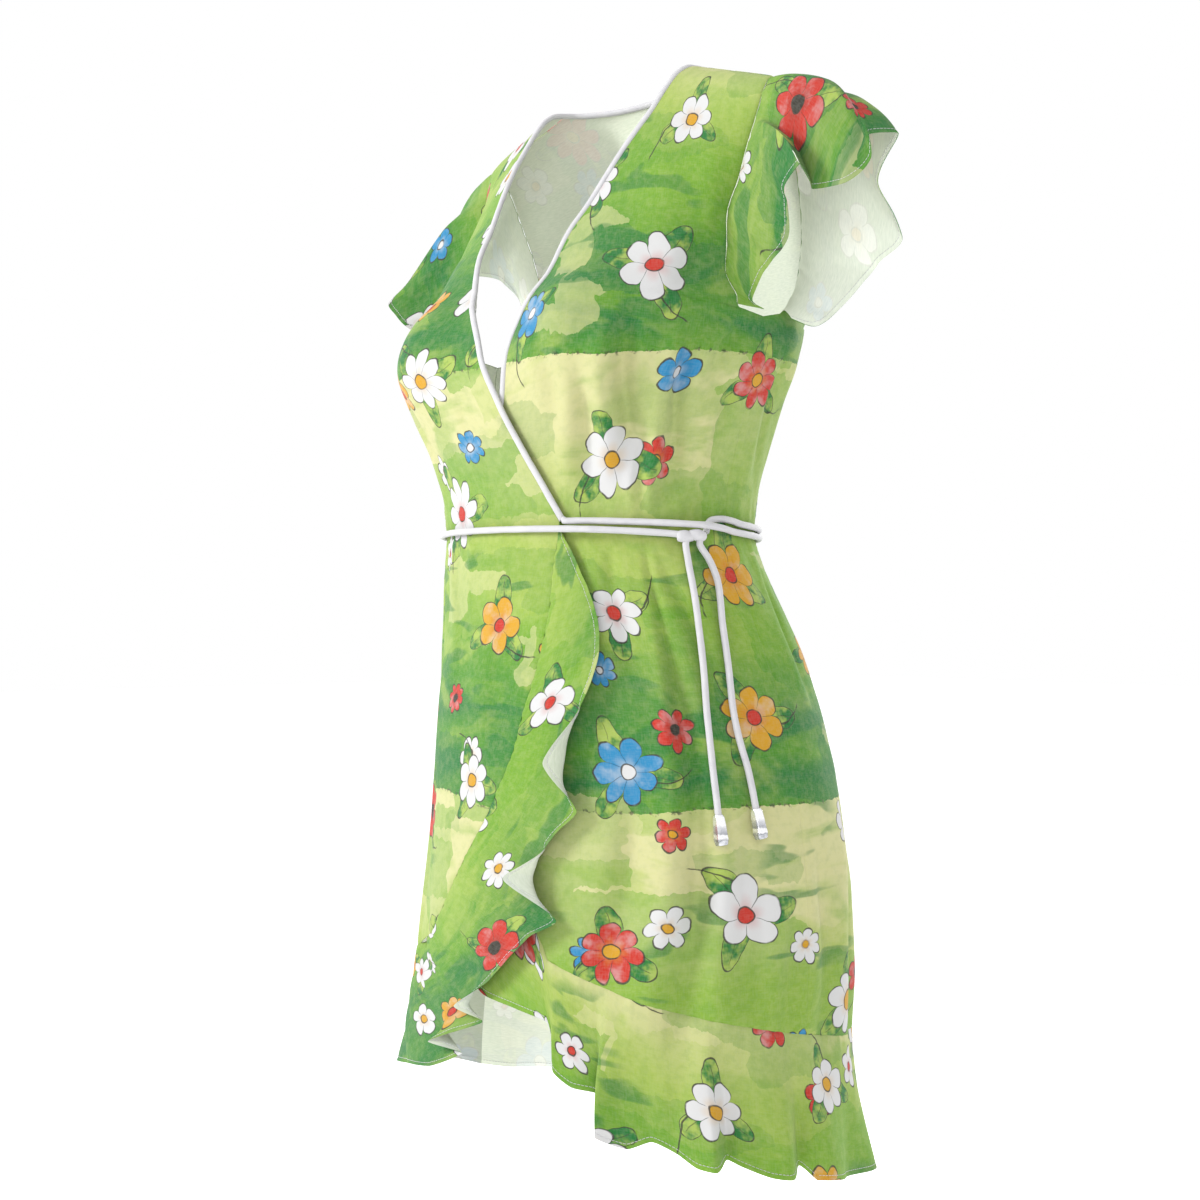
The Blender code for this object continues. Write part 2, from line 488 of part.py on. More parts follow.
def trim(name, middle, outwards, width, thick, finish, sides=8, widths=None):
    """A closed trim of oval section along the points in middle; widths scales it at each."""
    vertices, faces = [], []
    last = len(middle) - 1
    for index, point in enumerate(middle):
        along = unit(middle[min(index + 1, last)] - middle[max(index - 1, 0)])
        out = unit(outwards[index] - along * np.dot(outwards[index], along))
        across = np.cross(out, along)
        scale = widths[index] if widths else 1.0
        for corner in range(sides):
            turn = 2 * math.pi * (corner + 0.5) / sides
            vertices.append(point + across * (math.cos(turn) * width * scale / 2)
                            + out * (math.sin(turn) * thick * scale / 2))
    for index in range(last):
        for corner in range(sides):
            a = index * sides + corner
            b = index * sides + (corner + 1) % sides
            faces.append((a, b, b + sides, a + sides))
    faces.append(tuple(reversed(range(sides))))
    faces.append(tuple(last * sides + corner for corner in range(sides)))
    return new_object(name, vertices, faces, finish)


def cord(name, points, finish, diameter=CORD):
    """A round cord along the points, with closed ends."""
    curve = bpy.data.curves.new(name, "CURVE")
    curve.dimensions = "3D"
    curve.bevel_depth = diameter / 2
    curve.bevel_resolution = 2
    curve.use_fill_caps = True
    spline = curve.splines.new("POLY")
    spline.points.add(len(points) - 1)
    for place, point in zip(spline.points, points):
        place.co = (*point, 1.0)
    curve.materials.append(finish)
    piece = bpy.data.objects.new(name, curve)
    bpy.context.collection.objects.link(piece)
    return piece


def knot(finish):
    """The knot: a round-ended bulge along the waist, with a waist of its own between its two turns."""
    middle, outwards, widths = [], [], []
    centre = form(*KNOT)
    run = unit(form(KNOT.angle + 1, KNOT.level, KNOT.out) - form(KNOT.angle - 1, KNOT.level, KNOT.out))
    out = unit(form(KNOT.angle, KNOT.level, KNOT.out + 0.001) - centre)
    profile = ((-0.5, 0.45), (-0.42, 0.86), (-0.26, 1.0), (0.0, 0.86), (0.26, 1.0), (0.42, 0.86), (0.5, 0.45))
    for share, width in profile:
        middle.append(centre + run * share * KNOT_LENGTH)
        outwards.append(out)
        widths.append(width)
    trim("knot", middle, outwards, KNOT_HEIGHT, KNOT_THICK, finish, sides=10, widths=widths)


def tip(name, points, finish):
    """A metal end on a cord: a short bar of square section, narrower at its foot."""
    run = unit(points[-1] - points[-2])
    start = points[-1] + run * SEAM_GAP
    out = np.array((points[-1][0], points[-1][1], 0.0))
    stations = (0.0, 0.06, 0.75, 0.94, 1.0)
    middle = [start + run * share * TIP_LENGTH for share in stations]
    trim(name, middle, [out] * len(middle), TIP_WIDTH, TIP_WIDTH, finish,
         sides=8, widths=(0.72, 0.84, 1.0, 0.96, 0.8))


def finish(name, colour, roughness, metallic=0.0):
    material = bpy.data.materials.new(name)
    material.use_nodes = True
    shader = material.node_tree.nodes["Principled BSDF"]
    shader.inputs["Base Color"].default_value = (*colour, 1.0)
    shader.inputs["Roughness"].default_value = roughness
    shader.inputs["Metallic"].default_value = metallic
    return material


# ---------------------------------------------------------------- seams
def unit(vector):
    return vector / np.linalg.norm(vector)


def blend(keys, points, at):
    """The point at a key, on straight lines through the points."""
    return np.array([np.interp(at, keys, column) for column in np.array(points).T])


def seam_line(places, gap):
    """Points a gap beyond a panel's edge, from the places (angle, level, stand-off) of its
    corners; the cloth lies on the left-hand side of the run, seen from outside."""
    points = [form(*place) for place in places]
    outwards = [unit(form(angle, level, out + 0.001) - form(angle, level, out)) for angle, level, out in places]
    last = len(points) - 1
    moved = []
    for index, point in enumerate(points):
        before = unit(point - points[index - 1]) if index else unit(points[1] - point)
        after = unit(points[index + 1] - point) if index < last else before
        beyond = unit(np.cross(unit(before + after), outwards[index]))
        moved.append(point + beyond * (gap / max(0.6, np.dot(before, unit(before + after)))))
    return moved, outwards


# ---------------------------------------------------------------- flounces
EDGE_SHARE = 0.58         # share of the seam that runs down the wrap edge
FORM_SCALE = np.array((0.0026, 1.0, 1.0))     # metres in a step of angle, level and stand-off


@lru_cache(maxsize=None)
def ruffled_seam(side):
    """Shares along a front's ruffled seam and the points there, from the waist to the side seam."""
    keys = [EDGE_SHARE * row for row in SKIRT_ROWS]
    keys += [mix(EDGE_SHARE, 1.0, across) for across in FRONT_COLUMNS[1:]]
    places = []
    for key in keys:
        angle, level = seam_place(side, key)
        places.append((angle, level, top_layer(angle, level) if side < 0 else 0.0))
    gap = SEAM_GAP * (-1 if side < 0 else 1)
    return tuple(keys), tuple(tuple(point) for point in seam_line(places, gap)[0])


def seam_place(side, along):
    """Angle and level on a front's ruffled seam, from the waist (0) to the side seam (1)."""
    if along < EDGE_SHARE:
        return front_place(side, 0.0, 2 + along / EDGE_SHARE)
    return front_place(side, (along - EDGE_SHARE) / (1 - EDGE_SHARE), 3.0)


def flounce_point(side, along, down):
    """A point of a front flounce; down is -1 at its seam, 0 where it bends and 1 at its free edge."""
    row = smooth(RIGHT_RUFFLE if side < 0 else LEFT_RUFFLE, along)
    angle, level = seam_place(side, along)
    start = np.array((angle, level, top_layer(angle, level) if side < 0 else 0.0))
    bend, end = row[:3], row[3:]
    # the rows crowd towards the sharpest turn of the flap
    first, second = (bend - start) * FORM_SCALE, (start - 2 * bend + end) * FORM_SCALE
    turn = min(max(-np.dot(first, second) / max(np.dot(second, second), 1e-9), 0.35), 0.65)
    turn = mix(0.5, turn, min(np.dot(second, second) / 0.03 ** 2, 1.0))
    down = turn + mix(0.0, turn if down < 0 else 1 - turn, down)
    place = start * (1 - down) ** 2 + bend * 2 * down * (1 - down) + end * down ** 2
    return form(*place) + (blend(*ruffled_seam(side), along) - form(*start)) * (1 - down) ** 3


def ruffle_columns(table, corners, spacing, ends=0.0):
    """Shares along a ruffle: its crests and folds, points between them and the panel's corners."""
    shares = []
    for row, after in zip(table, table[1:]):
        count = max(2, round((after.along - row.along) / spacing), round(abs(after[1] - row[1]) / 5))
        shares += steps(count, row.along, after.along)[:-1]
    shares.append(1.0)
    shares = [share for share in shares if min(abs(key - share) for key in corners) > spacing / 4]
    inner = [share for share in shares + list(corners) if 1.5 * ends < share < 1 - 1.5 * ends]
    return sorted(inner + [ends, 1 - ends] if ends else shares + list(corners))


@lru_cache(maxsize=None)
def back_seam():
    places = [(*back_place(across, 3.0), 0.0) for across in BACK_COLUMNS]
    return tuple(BACK_COLUMNS), tuple(tuple(point) for point in seam_line(places, SEAM_GAP)[0])


def back_flounce_point(across, down):
    turn = 2 * across - 1
    angle = 180 + turn * (90 - gap_angle(SIDE_HEM))
    start = smooth(HEM_SEAM, 180 - abs(angle - 180))[0]
    wave = math.sin(2 * math.pi * BACK_WAVES * across + 0.6 * math.sin(3 * math.pi * across))
    side_pull = 4 * across * (1 - across)
    out = mix(BACK_WAVE_OUT, BACK_WAVE_OUT + BACK_WAVE_HEIGHT * wave, side_pull ** 0.35)
    point = form(angle, start - BACK_FLOUNCE * down, out * down ** 1.4)
    return point + (blend(*back_seam(), across) - form(*back_place(across, 3.0))) * (1 - down) ** 3


# ---------------------------------------------------------------- sleeves
ARMHOLE_MIDDLE = np.array((0.166, 0.022, -0.105))


@lru_cache(maxsize=None)
def armhole(side):
    """Shares round an armhole, the points of the panels' edges there and the way out at each."""
    rows = SHOULDER_ROWS + [1.0]
    keys, places = [], []
    for row in reversed(rows):
        angle, level = front_place(side, 1.0, row)
        keys.append((1 - row) / 2)
        places.append((angle, min(level, -0.0004), 0.0))
    for row in rows[1:]:
        angle, level = back_place(0.0, row)
        keys.append((1 + row) / 2)
        places.append((angle * side, min(level, -0.0004), 0.0))
    edge = [form(*place) for place in places]
    moved, outwards = seam_line(places, side * 0.001)
    beyond = [unit(after - before) for before, after in zip(edge, moved)]
    return tuple(keys), edge, beyond, outwards


def sleeve_point(side, along, down):
    """A point of a flutter sleeve; down is 0 at the armhole and 1 at the free edge."""
    keys, edge, beyond, outwards = armhole(side)
    sewn, onward = blend(keys, edge, along), unit(blend(keys, beyond, along))
    end = smooth(LEFT_FLUTTER if side > 0 else RIGHT_FLUTTER, along) * (side, 1, 1)
    hang = end - sewn
    away = (sewn - ARMHOLE_MIDDLE * (side, 1, 1)) * (0, 1, 1)
    swell = unit(away - hang * np.dot(away, hang) / np.dot(hang, hang))
    swell = swell * SLEEVE_SWELL * ease(min(along, 1 - along), 0.04, 0.32) * np.linalg.norm(hang)
    reach = hang / 2 + swell
    # it leaves the seam away from the panel, never back over it
    reach = reach + onward * max(0.0, 0.35 * np.linalg.norm(reach) - np.dot(reach, onward))
    lean = min(np.dot(unit(reach), onward), 1.0)
    start = sewn + onward * (SEAM_GAP + FLUTTER_CLOTH / 2 * math.sqrt(1 - lean ** 2))
    return start * (1 - down) ** 2 + (sewn + reach) * 2 * down * (1 - down) + end * down ** 2


# ---------------------------------------------------------------- the dress
def neck_edge():
    """The corners of the cloth's edge from the wrap point up, round the back neck and down again,
    as angle, level and stand-off."""
    down = [row for row in PANEL_ROWS if 0.02 < row < 2] + [1.985]
    edge = []
    for row in reversed(down):
        angle, level = front_place(-1, 0.0, row)
        edge.append((angle, level, top_layer(angle, level)))
    for across in reversed(BACK_COLUMNS):
        angle, level = back_place(across, 0.0)
        if level < -0.0006:
            edge.append((angle, level, 0.0))
    for row in down:
        edge.append((*front_place(1, 0.0, row), 0.0))
    return edge


def lay_points(lay, step=CORD_STEP):
    """Points along a cord that runs through the rows of its table, a step apart."""
    rows = [(index, *row) for index, row in enumerate(lay)]
    fine = np.array([form(*smooth(rows, place)) for place in steps(12 * len(rows), 0, len(rows) - 1)])
    run = np.concatenate(([0.0], np.cumsum(np.linalg.norm(fine[1:] - fine[:-1], axis=1))))
    count = max(2, round(run[-1] / step))
    return [blend(run, fine, place) for place in steps(count, 0.0, run[-1])]


def build():
    for old in list(bpy.data.objects):
        bpy.data.objects.remove(old, do_unlink=True)
    cloth = finish("printed cloth", (0.25, 0.45, 0.12), 0.85)
    white = finish("white cord", (0.85, 0.85, 0.86), 0.7)
    metal = finish("silvered metal", (0.75, 0.75, 0.77), 0.25, 1.0)

    front = [1 - across for across in reversed(FRONT_COLUMNS)]
    panel("front_right", lambda across, row, lift: front_point(-1, across, row, lift), FRONT_COLUMNS, cloth)
    panel("front_left", lambda across, row, lift: front_point(1, 1 - across, row, lift), front, cloth)
    panel("back", lambda across, row, lift: back_point(1 - across, row, lift), BACK_COLUMNS, cloth)
    wall("flounce_right", lambda along, down: flounce_point(-1, along, down),
         ruffle_columns(RIGHT_RUFFLE, ruffled_seam(-1)[0], 0.022), RIGHT_RUFFLE_ROWS, cloth, FLUTTER_CLOTH)
    wall("flounce_left", lambda along, down: flounce_point(1, 1 - along, down),
         [1 - along for along in reversed(ruffle_columns(LEFT_RUFFLE, ruffled_seam(1)[0], 0.022))],
         LEFT_RUFFLE_ROWS, cloth, FLUTTER_CLOTH)
    wall("flounce_back", lambda across, down: back_flounce_point(1 - across, down),
         steps(42), steps(3), cloth, FLUTTER_CLOTH)
    wall("sleeve_left", lambda along, down: sleeve_point(1, 1 - along, down),
         [1 - along for along in reversed(ruffle_columns(LEFT_FLUTTER, armhole(1)[0], 0.04, SLEEVE_END))],
         steps(5), cloth, FLUTTER_CLOTH)
    wall("sleeve_right", lambda along, down: sleeve_point(-1, along, down),
         ruffle_columns(RIGHT_FLUTTER, armhole(-1)[0], 0.04, SLEEVE_END), steps(5), cloth, FLUTTER_CLOTH)
    trim("piping", *seam_line(neck_edge(), PIPING_WIDTH / 2 + SEAM_GAP), PIPING_WIDTH, PIPING_THICK, white)

    cord("tie_right", lay_points(TIE_RIGHT_LAY), white)
    cord("tie_left", lay_points(TIE_LEFT_LAY, CORD_STEP * 0.7), white)
    knot(white)
    for tail, tip_name, lay in (("tail_front", "tip_front", TAIL_FRONT_LAY), ("tail_back", "tip_back", TAIL_BACK_LAY)):
        points = lay_points(lay)
        cord(tail, points, white)
        tip(tip_name, points, metal)


build()
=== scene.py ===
"""Looks of a short wrap tea dress in its worn shape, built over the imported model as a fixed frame.

Metres, +Z up, the front faces -Y and +X is the wearer's left.  A place on the dress is given by its
angle (degrees, 0 at the centre front, + to the wearer's left, 180 at the centre back), its level
(height) and how far it stands out from the form.  The print is a generic one of watercolour washes
with garden flowers.
"""
import enum
import logging
import math
from dataclasses import dataclass, field
from typing import Optional, Sequence, Union

import bpy
import numpy as np
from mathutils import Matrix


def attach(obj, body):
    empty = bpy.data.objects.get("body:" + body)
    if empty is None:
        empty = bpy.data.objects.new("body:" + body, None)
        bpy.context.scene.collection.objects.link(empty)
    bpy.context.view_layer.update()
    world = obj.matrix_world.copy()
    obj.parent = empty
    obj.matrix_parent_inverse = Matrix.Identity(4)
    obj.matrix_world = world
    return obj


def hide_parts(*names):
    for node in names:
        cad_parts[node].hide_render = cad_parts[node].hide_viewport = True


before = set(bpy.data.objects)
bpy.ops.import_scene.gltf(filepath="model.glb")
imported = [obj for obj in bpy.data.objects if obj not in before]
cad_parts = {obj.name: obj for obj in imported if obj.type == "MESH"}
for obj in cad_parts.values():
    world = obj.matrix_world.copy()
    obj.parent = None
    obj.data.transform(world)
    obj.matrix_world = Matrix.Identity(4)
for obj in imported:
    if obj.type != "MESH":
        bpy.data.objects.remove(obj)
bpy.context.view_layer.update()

Array = np.ndarray
Number = Union[float, Array]
Rows = Sequence[Sequence[float]]
Colour = tuple[float, float, float]
Piece = bpy.types.Object
Material = bpy.types.Material
LOG = logging.getLogger("tea_dress")

# ---- tables of the form
# level, half width in front and back, depth in front and back, how far back the side line lies,
# squareness in front and back (2 is an ellipse)
SECTIONS = (
    (0, 0.178, 0.178, 0.0003, 0.0003, 0.02, 2.2, 2.2), (-0.002, 0.178, 0.178, 0.01, 0.012, 0.02, 2.2, 2.2),
    (-0.006, 0.177, 0.178, 0.018, 0.022, 0.02, 2.2, 2.2),
    (-0.012, 0.176, 0.178, 0.0255, 0.033, 0.02, 2.2, 2.2),
    (-0.025, 0.173, 0.177, 0.034, 0.048, 0.02, 2.3, 2.3), (-0.043, 0.17, 0.175, 0.043, 0.06, 0.02, 2.4, 2.4),
    (-0.083, 0.1635, 0.171, 0.067, 0.079, 0.02, 2.6, 2.6), (-0.117, 0.159, 0.168, 0.084, 0.09, 0.02, 3, 2.7),
    (-0.143, 0.1568, 0.166, 0.1, 0.096, 0.02, 3, 2.7), (-0.17, 0.158, 0.164, 0.11, 0.1, 0.019, 3, 2.7),
    (-0.19, 0.161, 0.163, 0.123, 0.102, 0.018, 3, 2.7),
    (-0.205, 0.1635, 0.1635, 0.1285, 0.101, 0.017, 2.9, 2.7),
    (-0.23, 0.164, 0.164, 0.133, 0.097, 0.014, 2.6, 2.6),
    (-0.265, 0.156, 0.156, 0.126, 0.093, 0.009, 2.4, 2.4),
    (-0.3, 0.149, 0.149, 0.114, 0.094, 0.004, 2.2, 2.2), (-0.33, 0.143, 0.143, 0.107, 0.095, 0.001, 2.1, 2.1),
    (-0.36, 0.141, 0.141, 0.105, 0.096, 0, 2, 2), (-0.387, 0.146, 0.146, 0.109, 0.101, 0.003, 2, 2),
    (-0.427, 0.157, 0.157, 0.117, 0.11, 0.013, 2, 2), (-0.474, 0.168, 0.168, 0.13, 0.124, 0.024, 2, 2),
    (-0.522, 0.176, 0.176, 0.141, 0.134, 0.032, 2, 2), (-0.577, 0.182, 0.182, 0.15, 0.14, 0.038, 2, 2),
    (-0.625, 0.186, 0.186, 0.154, 0.145, 0.039, 2, 2), (-0.696, 0.19, 0.19, 0.16, 0.153, 0.035, 2, 2),
    (-0.754, 0.194, 0.194, 0.164, 0.158, 0.029, 2, 2), (-0.88, 0.203, 0.203, 0.177, 0.166, 0.03, 2, 2),
)
WAIST = -0.355
UNDERARM = -0.205
WRAP_CORNER = -0.672
SIDE_HEM = -0.727
# level and x of the wrap edges above the waist
RIGHT_EDGE = (
    (0, -0.085), (-0.043, -0.083), (-0.083, -0.075), (-0.117, -0.067), (-0.143, -0.058), (-0.1685, -0.047),
    (-0.204, -0.02), (-0.229, 0.001), (-0.265, 0.022), (-0.302, 0.039), (WAIST, 0.066),
)
LEFT_EDGE = (
    (0, 0.085), (-0.04, 0.083), (-0.076, 0.075), (-0.143, 0.058), (-0.188, 0.051), (-0.228, 0.038),
    (-0.275, 0.022), (-0.315, -0.012), (WAIST, -0.06),
)
# the ruffled edge below the waist, of the top front; the under front mirrors it
RUFFLED_EDGE = (
    (WAIST, 0.066), (-0.404, 0.06), (-0.442, 0.053), (-0.466, 0.047), (-0.497, 0.037), (-0.528, 0.028),
    (-0.5676, 0.007), (-0.59, -0.008), (-0.613, -0.027), (-0.645, -0.05), (WRAP_CORNER, -0.07),
)
# angle and level of the hem seam
HEM_SEAM = (
    (20, WRAP_CORNER), (35, -0.688), (50, -0.702), (70, -0.715), (90, SIDE_HEM), (120, -0.742), (150, -0.751),
    (180, -0.754),
)
# level, |x| of the armhole in front and back
ARMHOLE = (
    (0, 0.17, 0.17), (-0.03, 0.166, 0.168), (-0.06, 0.162, 0.165), (-0.09, 0.159, 0.162),
    (-0.138, 0.155, 0.159), (-0.17, 0.1565, 0.159), (-0.19, 0.1605, 0.161), (UNDERARM, 0.1635, 0.1635),
)
# flounces: share of the seam; angle, level and stand-off of the place that the cloth is drawn
# towards half way down, and of the free edge
RIGHT_RUFFLE = (
    (0, 28, -0.36, 0.0048, 28.6, -0.3628, 0.0048), (0.05, 29.5, -0.381, 0.0052, 32.5, -0.3804, 0.0055),
    (0.1, 30, -0.406, 0.0058, 35.9, -0.4036, 0.0065), (0.155, 29, -0.431, 0.007, 37.3, -0.4271, 0.008),
    (0.2, 27.5, -0.453, 0.008, 37.1, -0.4478, 0.01), (0.235, 26.5, -0.475, 0.008, 34.5, -0.4701, 0.012),
    (0.265, 32.8, -0.4851, 0.007, 30.7, -0.4932, 0.014), (0.305, 35.7, -0.515, 0.006, 22.4, -0.531, 0.022),
    (0.35, 21.4, -0.5581, 0.007, 29.9, -0.5648, 0.013), (0.38, 16, -0.58, 0.009, 24.7, -0.5806, 0.012),
    (0.395, 24.4, -0.5902, 0.006, 20.5, -0.5965, 0.012), (0.425, 30.6, -0.6084, 0.006, 12.6, -0.6164, 0.022),
    (0.47, 15.9, -0.6321, 0.007, 25.6, -0.6446, 0.0125), (0.5, 4, -0.645, 0.009, 19.4, -0.6571, 0.014),
    (0.53, -1, -0.662, 0.008, 14.4, -0.6741, 0.014), (0.56, 6, -0.6775, 0.007, 10.4, -0.6915, 0.016),
    (0.59, 15.9, -0.6934, 0.006, 2.1, -0.7164, 0.022), (0.62, -6, -0.705, 0.007, 9.8, -0.723, 0.015),
    (0.65, 6, -0.7217, 0.006, -4.6, -0.7448, 0.024), (0.68, -14, -0.724, 0.0065, 3.5, -0.748, 0.0105),
    (0.72, -25, -0.726, 0.006, -6.8, -0.7644, 0.014), (0.76, -36, -0.733, 0.006, -20.3, -0.7734, 0.012),
    (0.8, -46, -0.745, 0.006, -34, -0.785, 0.002), (0.85, -60, -0.757, 0.008, -52, -0.799, 0.016),
    (0.91, -72, -0.768, 0.004, -69, -0.812, 0), (0.96, -82, -0.775, 0.007, -81, -0.82, 0.013),
    (1, -89.9, -0.779, 0.005, -89.9, -0.829, 0.006),
)
LEFT_RUFFLE = (
    (0, -28.4, -0.359, 0, -29.2, -0.3628, 0), (0.1, -30, -0.405, 0, -36, -0.4, 0),
    (0.25, -26, -0.485, 0, -36, -0.485, 0), (0.4, -14, -0.575, 0, -26, -0.59, 0),
    (0.46, -8, -0.625, 0, -12, -0.665, 0), (0.49, 4, -0.65, 0.002, 5.5, -0.705, 0.006),
    (0.52, 12, -0.665, 0.002, 15.8, -0.7106, 0.005), (0.545, 19, -0.68, 0.0035, 24.2, -0.7162, 0.0045),
    (0.567, 22.6, -0.694, 0.004, 26.8, -0.733, 0.004), (0.592, 26, -0.709, 0.006, 27.6, -0.7487, 0.0095),
    (0.615, 30, -0.717, 0.005, 32, -0.7577, 0.008), (0.64, 33, -0.72, 0.002, 37, -0.7607, 0.002),
    (0.66, 36, -0.73, 0.002, 40.1, -0.7737, -0.002), (0.685, 37, -0.74, 0.01, 37.8, -0.7885, 0.016),
    (0.71, 42, -0.745, 0.004, 44.2, -0.7971, 0.006), (0.74, 47, -0.75, 0.002, 49.5, -0.7918, 0.002),
    (0.77, 53, -0.755, 0.004, 55.1, -0.7995, 0.006), (0.8, 58, -0.76, 0.008, 59.2, -0.808, 0.014),
    (0.825, 62, -0.762, 0.01, 62.9, -0.8102, 0.018), (0.85, 66, -0.763, 0, 66.9, -0.8065, -0.004),
    (0.88, 70, -0.766, 0.003, 70, -0.811, 0.004), (0.915, 75.5, -0.77, 0.008, 76, -0.8189, 0.012),
    (0.945, 80.5, -0.773, 0.009, 80.7, -0.8217, 0.016), (0.975, 86, -0.774, 0, 87, -0.818, -0.003),
    (1, 89.9, -0.779, 0.003, 89.9, -0.829, 0.006),
)
# free edge of the sleeves: share round the armhole from the underarm up the front, over the
# shoulder and down the back; x towards the arm, y and z
LEFT_FLUTTER = (
    (0, 0.172, 0.013, -0.203), (0.07, 0.169, 0, -0.196), (0.15, 0.18, 0, -0.178),
    (0.25, 0.204, 0.001, -0.155), (0.31, 0.207, -0.004, -0.132), (0.35, 0.208, -0.008, -0.123),
    (0.39, 0.223, -0.008, -0.11), (0.42, 0.212, 0.016, -0.121), (0.455, 0.245, 0.0123, -0.125),
    (0.49, 0.262, 0.022, -0.108), (0.515, 0.258, 0.024, -0.092), (0.56, 0.266, 0.045, -0.088),
    (0.63, 0.236, 0.06, -0.116), (0.68, 0.233, 0.09, -0.15), (0.75, 0.21, 0.09, -0.164),
    (0.82, 0.202, 0.082, -0.178), (0.89, 0.195, 0.062, -0.2), (0.95, 0.19, 0.042, -0.213),
    (1, 0.178, 0.02, -0.205),
)
RIGHT_FLUTTER = (
    (0, 0.172, 0.013, -0.203), (0.07, 0.17, -0.004, -0.196), (0.15, 0.187, -0.03, -0.186),
    (0.25, 0.207, -0.056, -0.166), (0.31, 0.226, -0.056, -0.15), (0.36, 0.235, -0.036, -0.136),
    (0.41, 0.236, -0.01, -0.124), (0.45, 0.242, 0.018, -0.117), (0.5, 0.255, 0.035, -0.108),
    (0.56, 0.25, 0.058, -0.105), (0.63, 0.224, 0.068, -0.114), (0.69, 0.23, 0.094, -0.13),
    (0.75, 0.21, 0.095, -0.152), (0.82, 0.202, 0.082, -0.174), (0.89, 0.195, 0.062, -0.198),
    (0.95, 0.19, 0.042, -0.208), (1, 0.178, 0.02, -0.205),
)
# the tie: angle, level and how far the middle of the cord stands out
TIE_RIGHT_LAY = (
    (30.5, -0.3545, 0.0078), (36, -0.3546, 0.0056), (50, -0.3556, 0.0042), (62, -0.3566, 0.006),
    (70, -0.3575, 0.0096), (79, -0.3588, 0.0114), (86, -0.3608, 0.0084), (95, -0.363, 0.0042),
    (120, -0.365, 0.004), (180, -0.3655, 0.004), (240, -0.364, 0.004), (270, -0.3615, 0.0042),
    (295, -0.359, 0.0088), (330, -0.3585, 0.009), (360, -0.3592, 0.009), (386, -0.3604, 0.0094),
    (396, -0.3612, 0.0092), (408, -0.3625, 0.006), (424, -0.365, 0.007),
)
TIE_LEFT_LAY = (
    (266, -0.3555, 0.004), (240, -0.3575, 0.004), (180, -0.3592, 0.004), (120, -0.358, 0.004),
    (97, -0.356, 0.004), (88, -0.353, 0.0038), (82, -0.3536, 0.0037), (78.9, -0.36, 0.0038),
    (78.4, -0.364, 0.006),
)
TAIL_FRONT_LAY = (
    (69.4, -0.3745, 0.009), (69.5, -0.3915, 0.0056), (66.3, -0.4391, 0.0048), (63.5, -0.5016, 0.0048),
    (63.3, -0.5341, 0.0048), (63.5, -0.5655, 0.0054),
)
TAIL_BACK_LAY = (
    (74.5, -0.3745, 0.009), (77.6, -0.385, 0.006), (78.6, -0.4004, 0.005), (75.2, -0.4278, 0.0048),
    (71.5, -0.4906, 0.0048), (71.5, -0.5062, 0.0048), (73.2, -0.5376, 0.0048), (73.8, -0.562, 0.0054),
)
KNOT_LAY = (71.7, -0.3675, 0.0082)


# ---- small tools
class Side(enum.IntEnum):
    """The wearer's side that a piece lies on."""

    RIGHT = -1
    LEFT = 1

    @property
    def word(self) -> str:
        """The side as names of pieces have it."""
        return self.name.lower()


class Face(enum.Enum):
    """The faces of the printed cloth: printed, unprinted, and unprinted where a flounce turns it out; the two
    unprinted faces are one cloth, painted lighter inside the dress and darker where turned out, as painted
    light.
    """

    OUTER = "outer"
    INNER = "inner"
    TURNED = "turned"


class Curve:
    """A curve through a table's rows that never overshoots between them."""

    def __init__(self, rows: Rows) -> None:
        """Works out the slopes.

        Args:
            rows: the key, then the values, of each row, with keys in rising or falling order.
        """
        table = np.array(rows, dtype=float)
        self.sign = -1.0 if table[0, 0] > table[-1, 0] else 1.0
        self.keys, self.values = table[:, 0] * self.sign, table[:, 1:]
        self.span = np.diff(self.keys)
        slopes = np.diff(self.values, axis=0) / self.span[:, None]
        before, after = slopes[:-1], slopes[1:]
        same = before * after > 0
        inner = np.where(same, 2 * before * after / np.where(same, before + after, 1.0), 0.0)
        self.tangents = np.vstack((slopes[:1], inner, slopes[-1:]))

    def __call__(self, at: Number) -> Array:
        """Reads the curve.

        Args:
            at: the key or keys.

        Returns:
            The values, in a last axis of their own.
        """
        at = np.clip(np.asarray(at, dtype=float) * self.sign, self.keys[0], self.keys[-1])
        low = np.clip(np.searchsorted(self.keys, at, side="right") - 1, 0, len(self.span) - 1)
        span = self.span[low][..., None]
        s = (at - self.keys[low])[..., None] / span
        s2, s3 = s ** 2, s ** 3
        return (self.values[low] * (2 * s3 - 3 * s2 + 1) + self.values[low + 1] * (3 * s2 - 2 * s3)
                + self.tangents[low] * span * (s3 - 2 * s2 + s) + self.tangents[low + 1] * span * (s3 - s2))


def through(rows: Rows, count: int) -> Array:
    """So many rows of numbers on a curve through the given ones."""
    return Curve([(index, *row) for index, row in enumerate(rows)])(np.linspace(0, len(rows) - 1, count))


def ease(value: Number, start: float, end: float) -> Array:
    """A smooth step: 0 below the start and 1 above the end."""
    share = np.clip((np.asarray(value, dtype=float) - start) / (end - start), 0.0, 1.0)
    return share * share * (3 - 2 * share)


def mix(start: Number, end: Number, share: Number) -> Number:
    """The value that lies a share of the way from start to end."""
    return start + (end - start) * share


def unit(vectors: Array) -> Array:
    """The vectors, each made 1 long."""
    return vectors / np.maximum(np.linalg.norm(vectors, axis=-1, keepdims=True), 1e-12)


def dot(first: Array, second: Array) -> Array:
    """Dot products along the last axis, which is kept."""
    return np.sum(first * second, axis=-1, keepdims=True)


def bell(distance: Number, width: float) -> Array:
    """A smooth hump that is 1 at distance 0."""
    return np.exp(-(distance / width) ** 2)


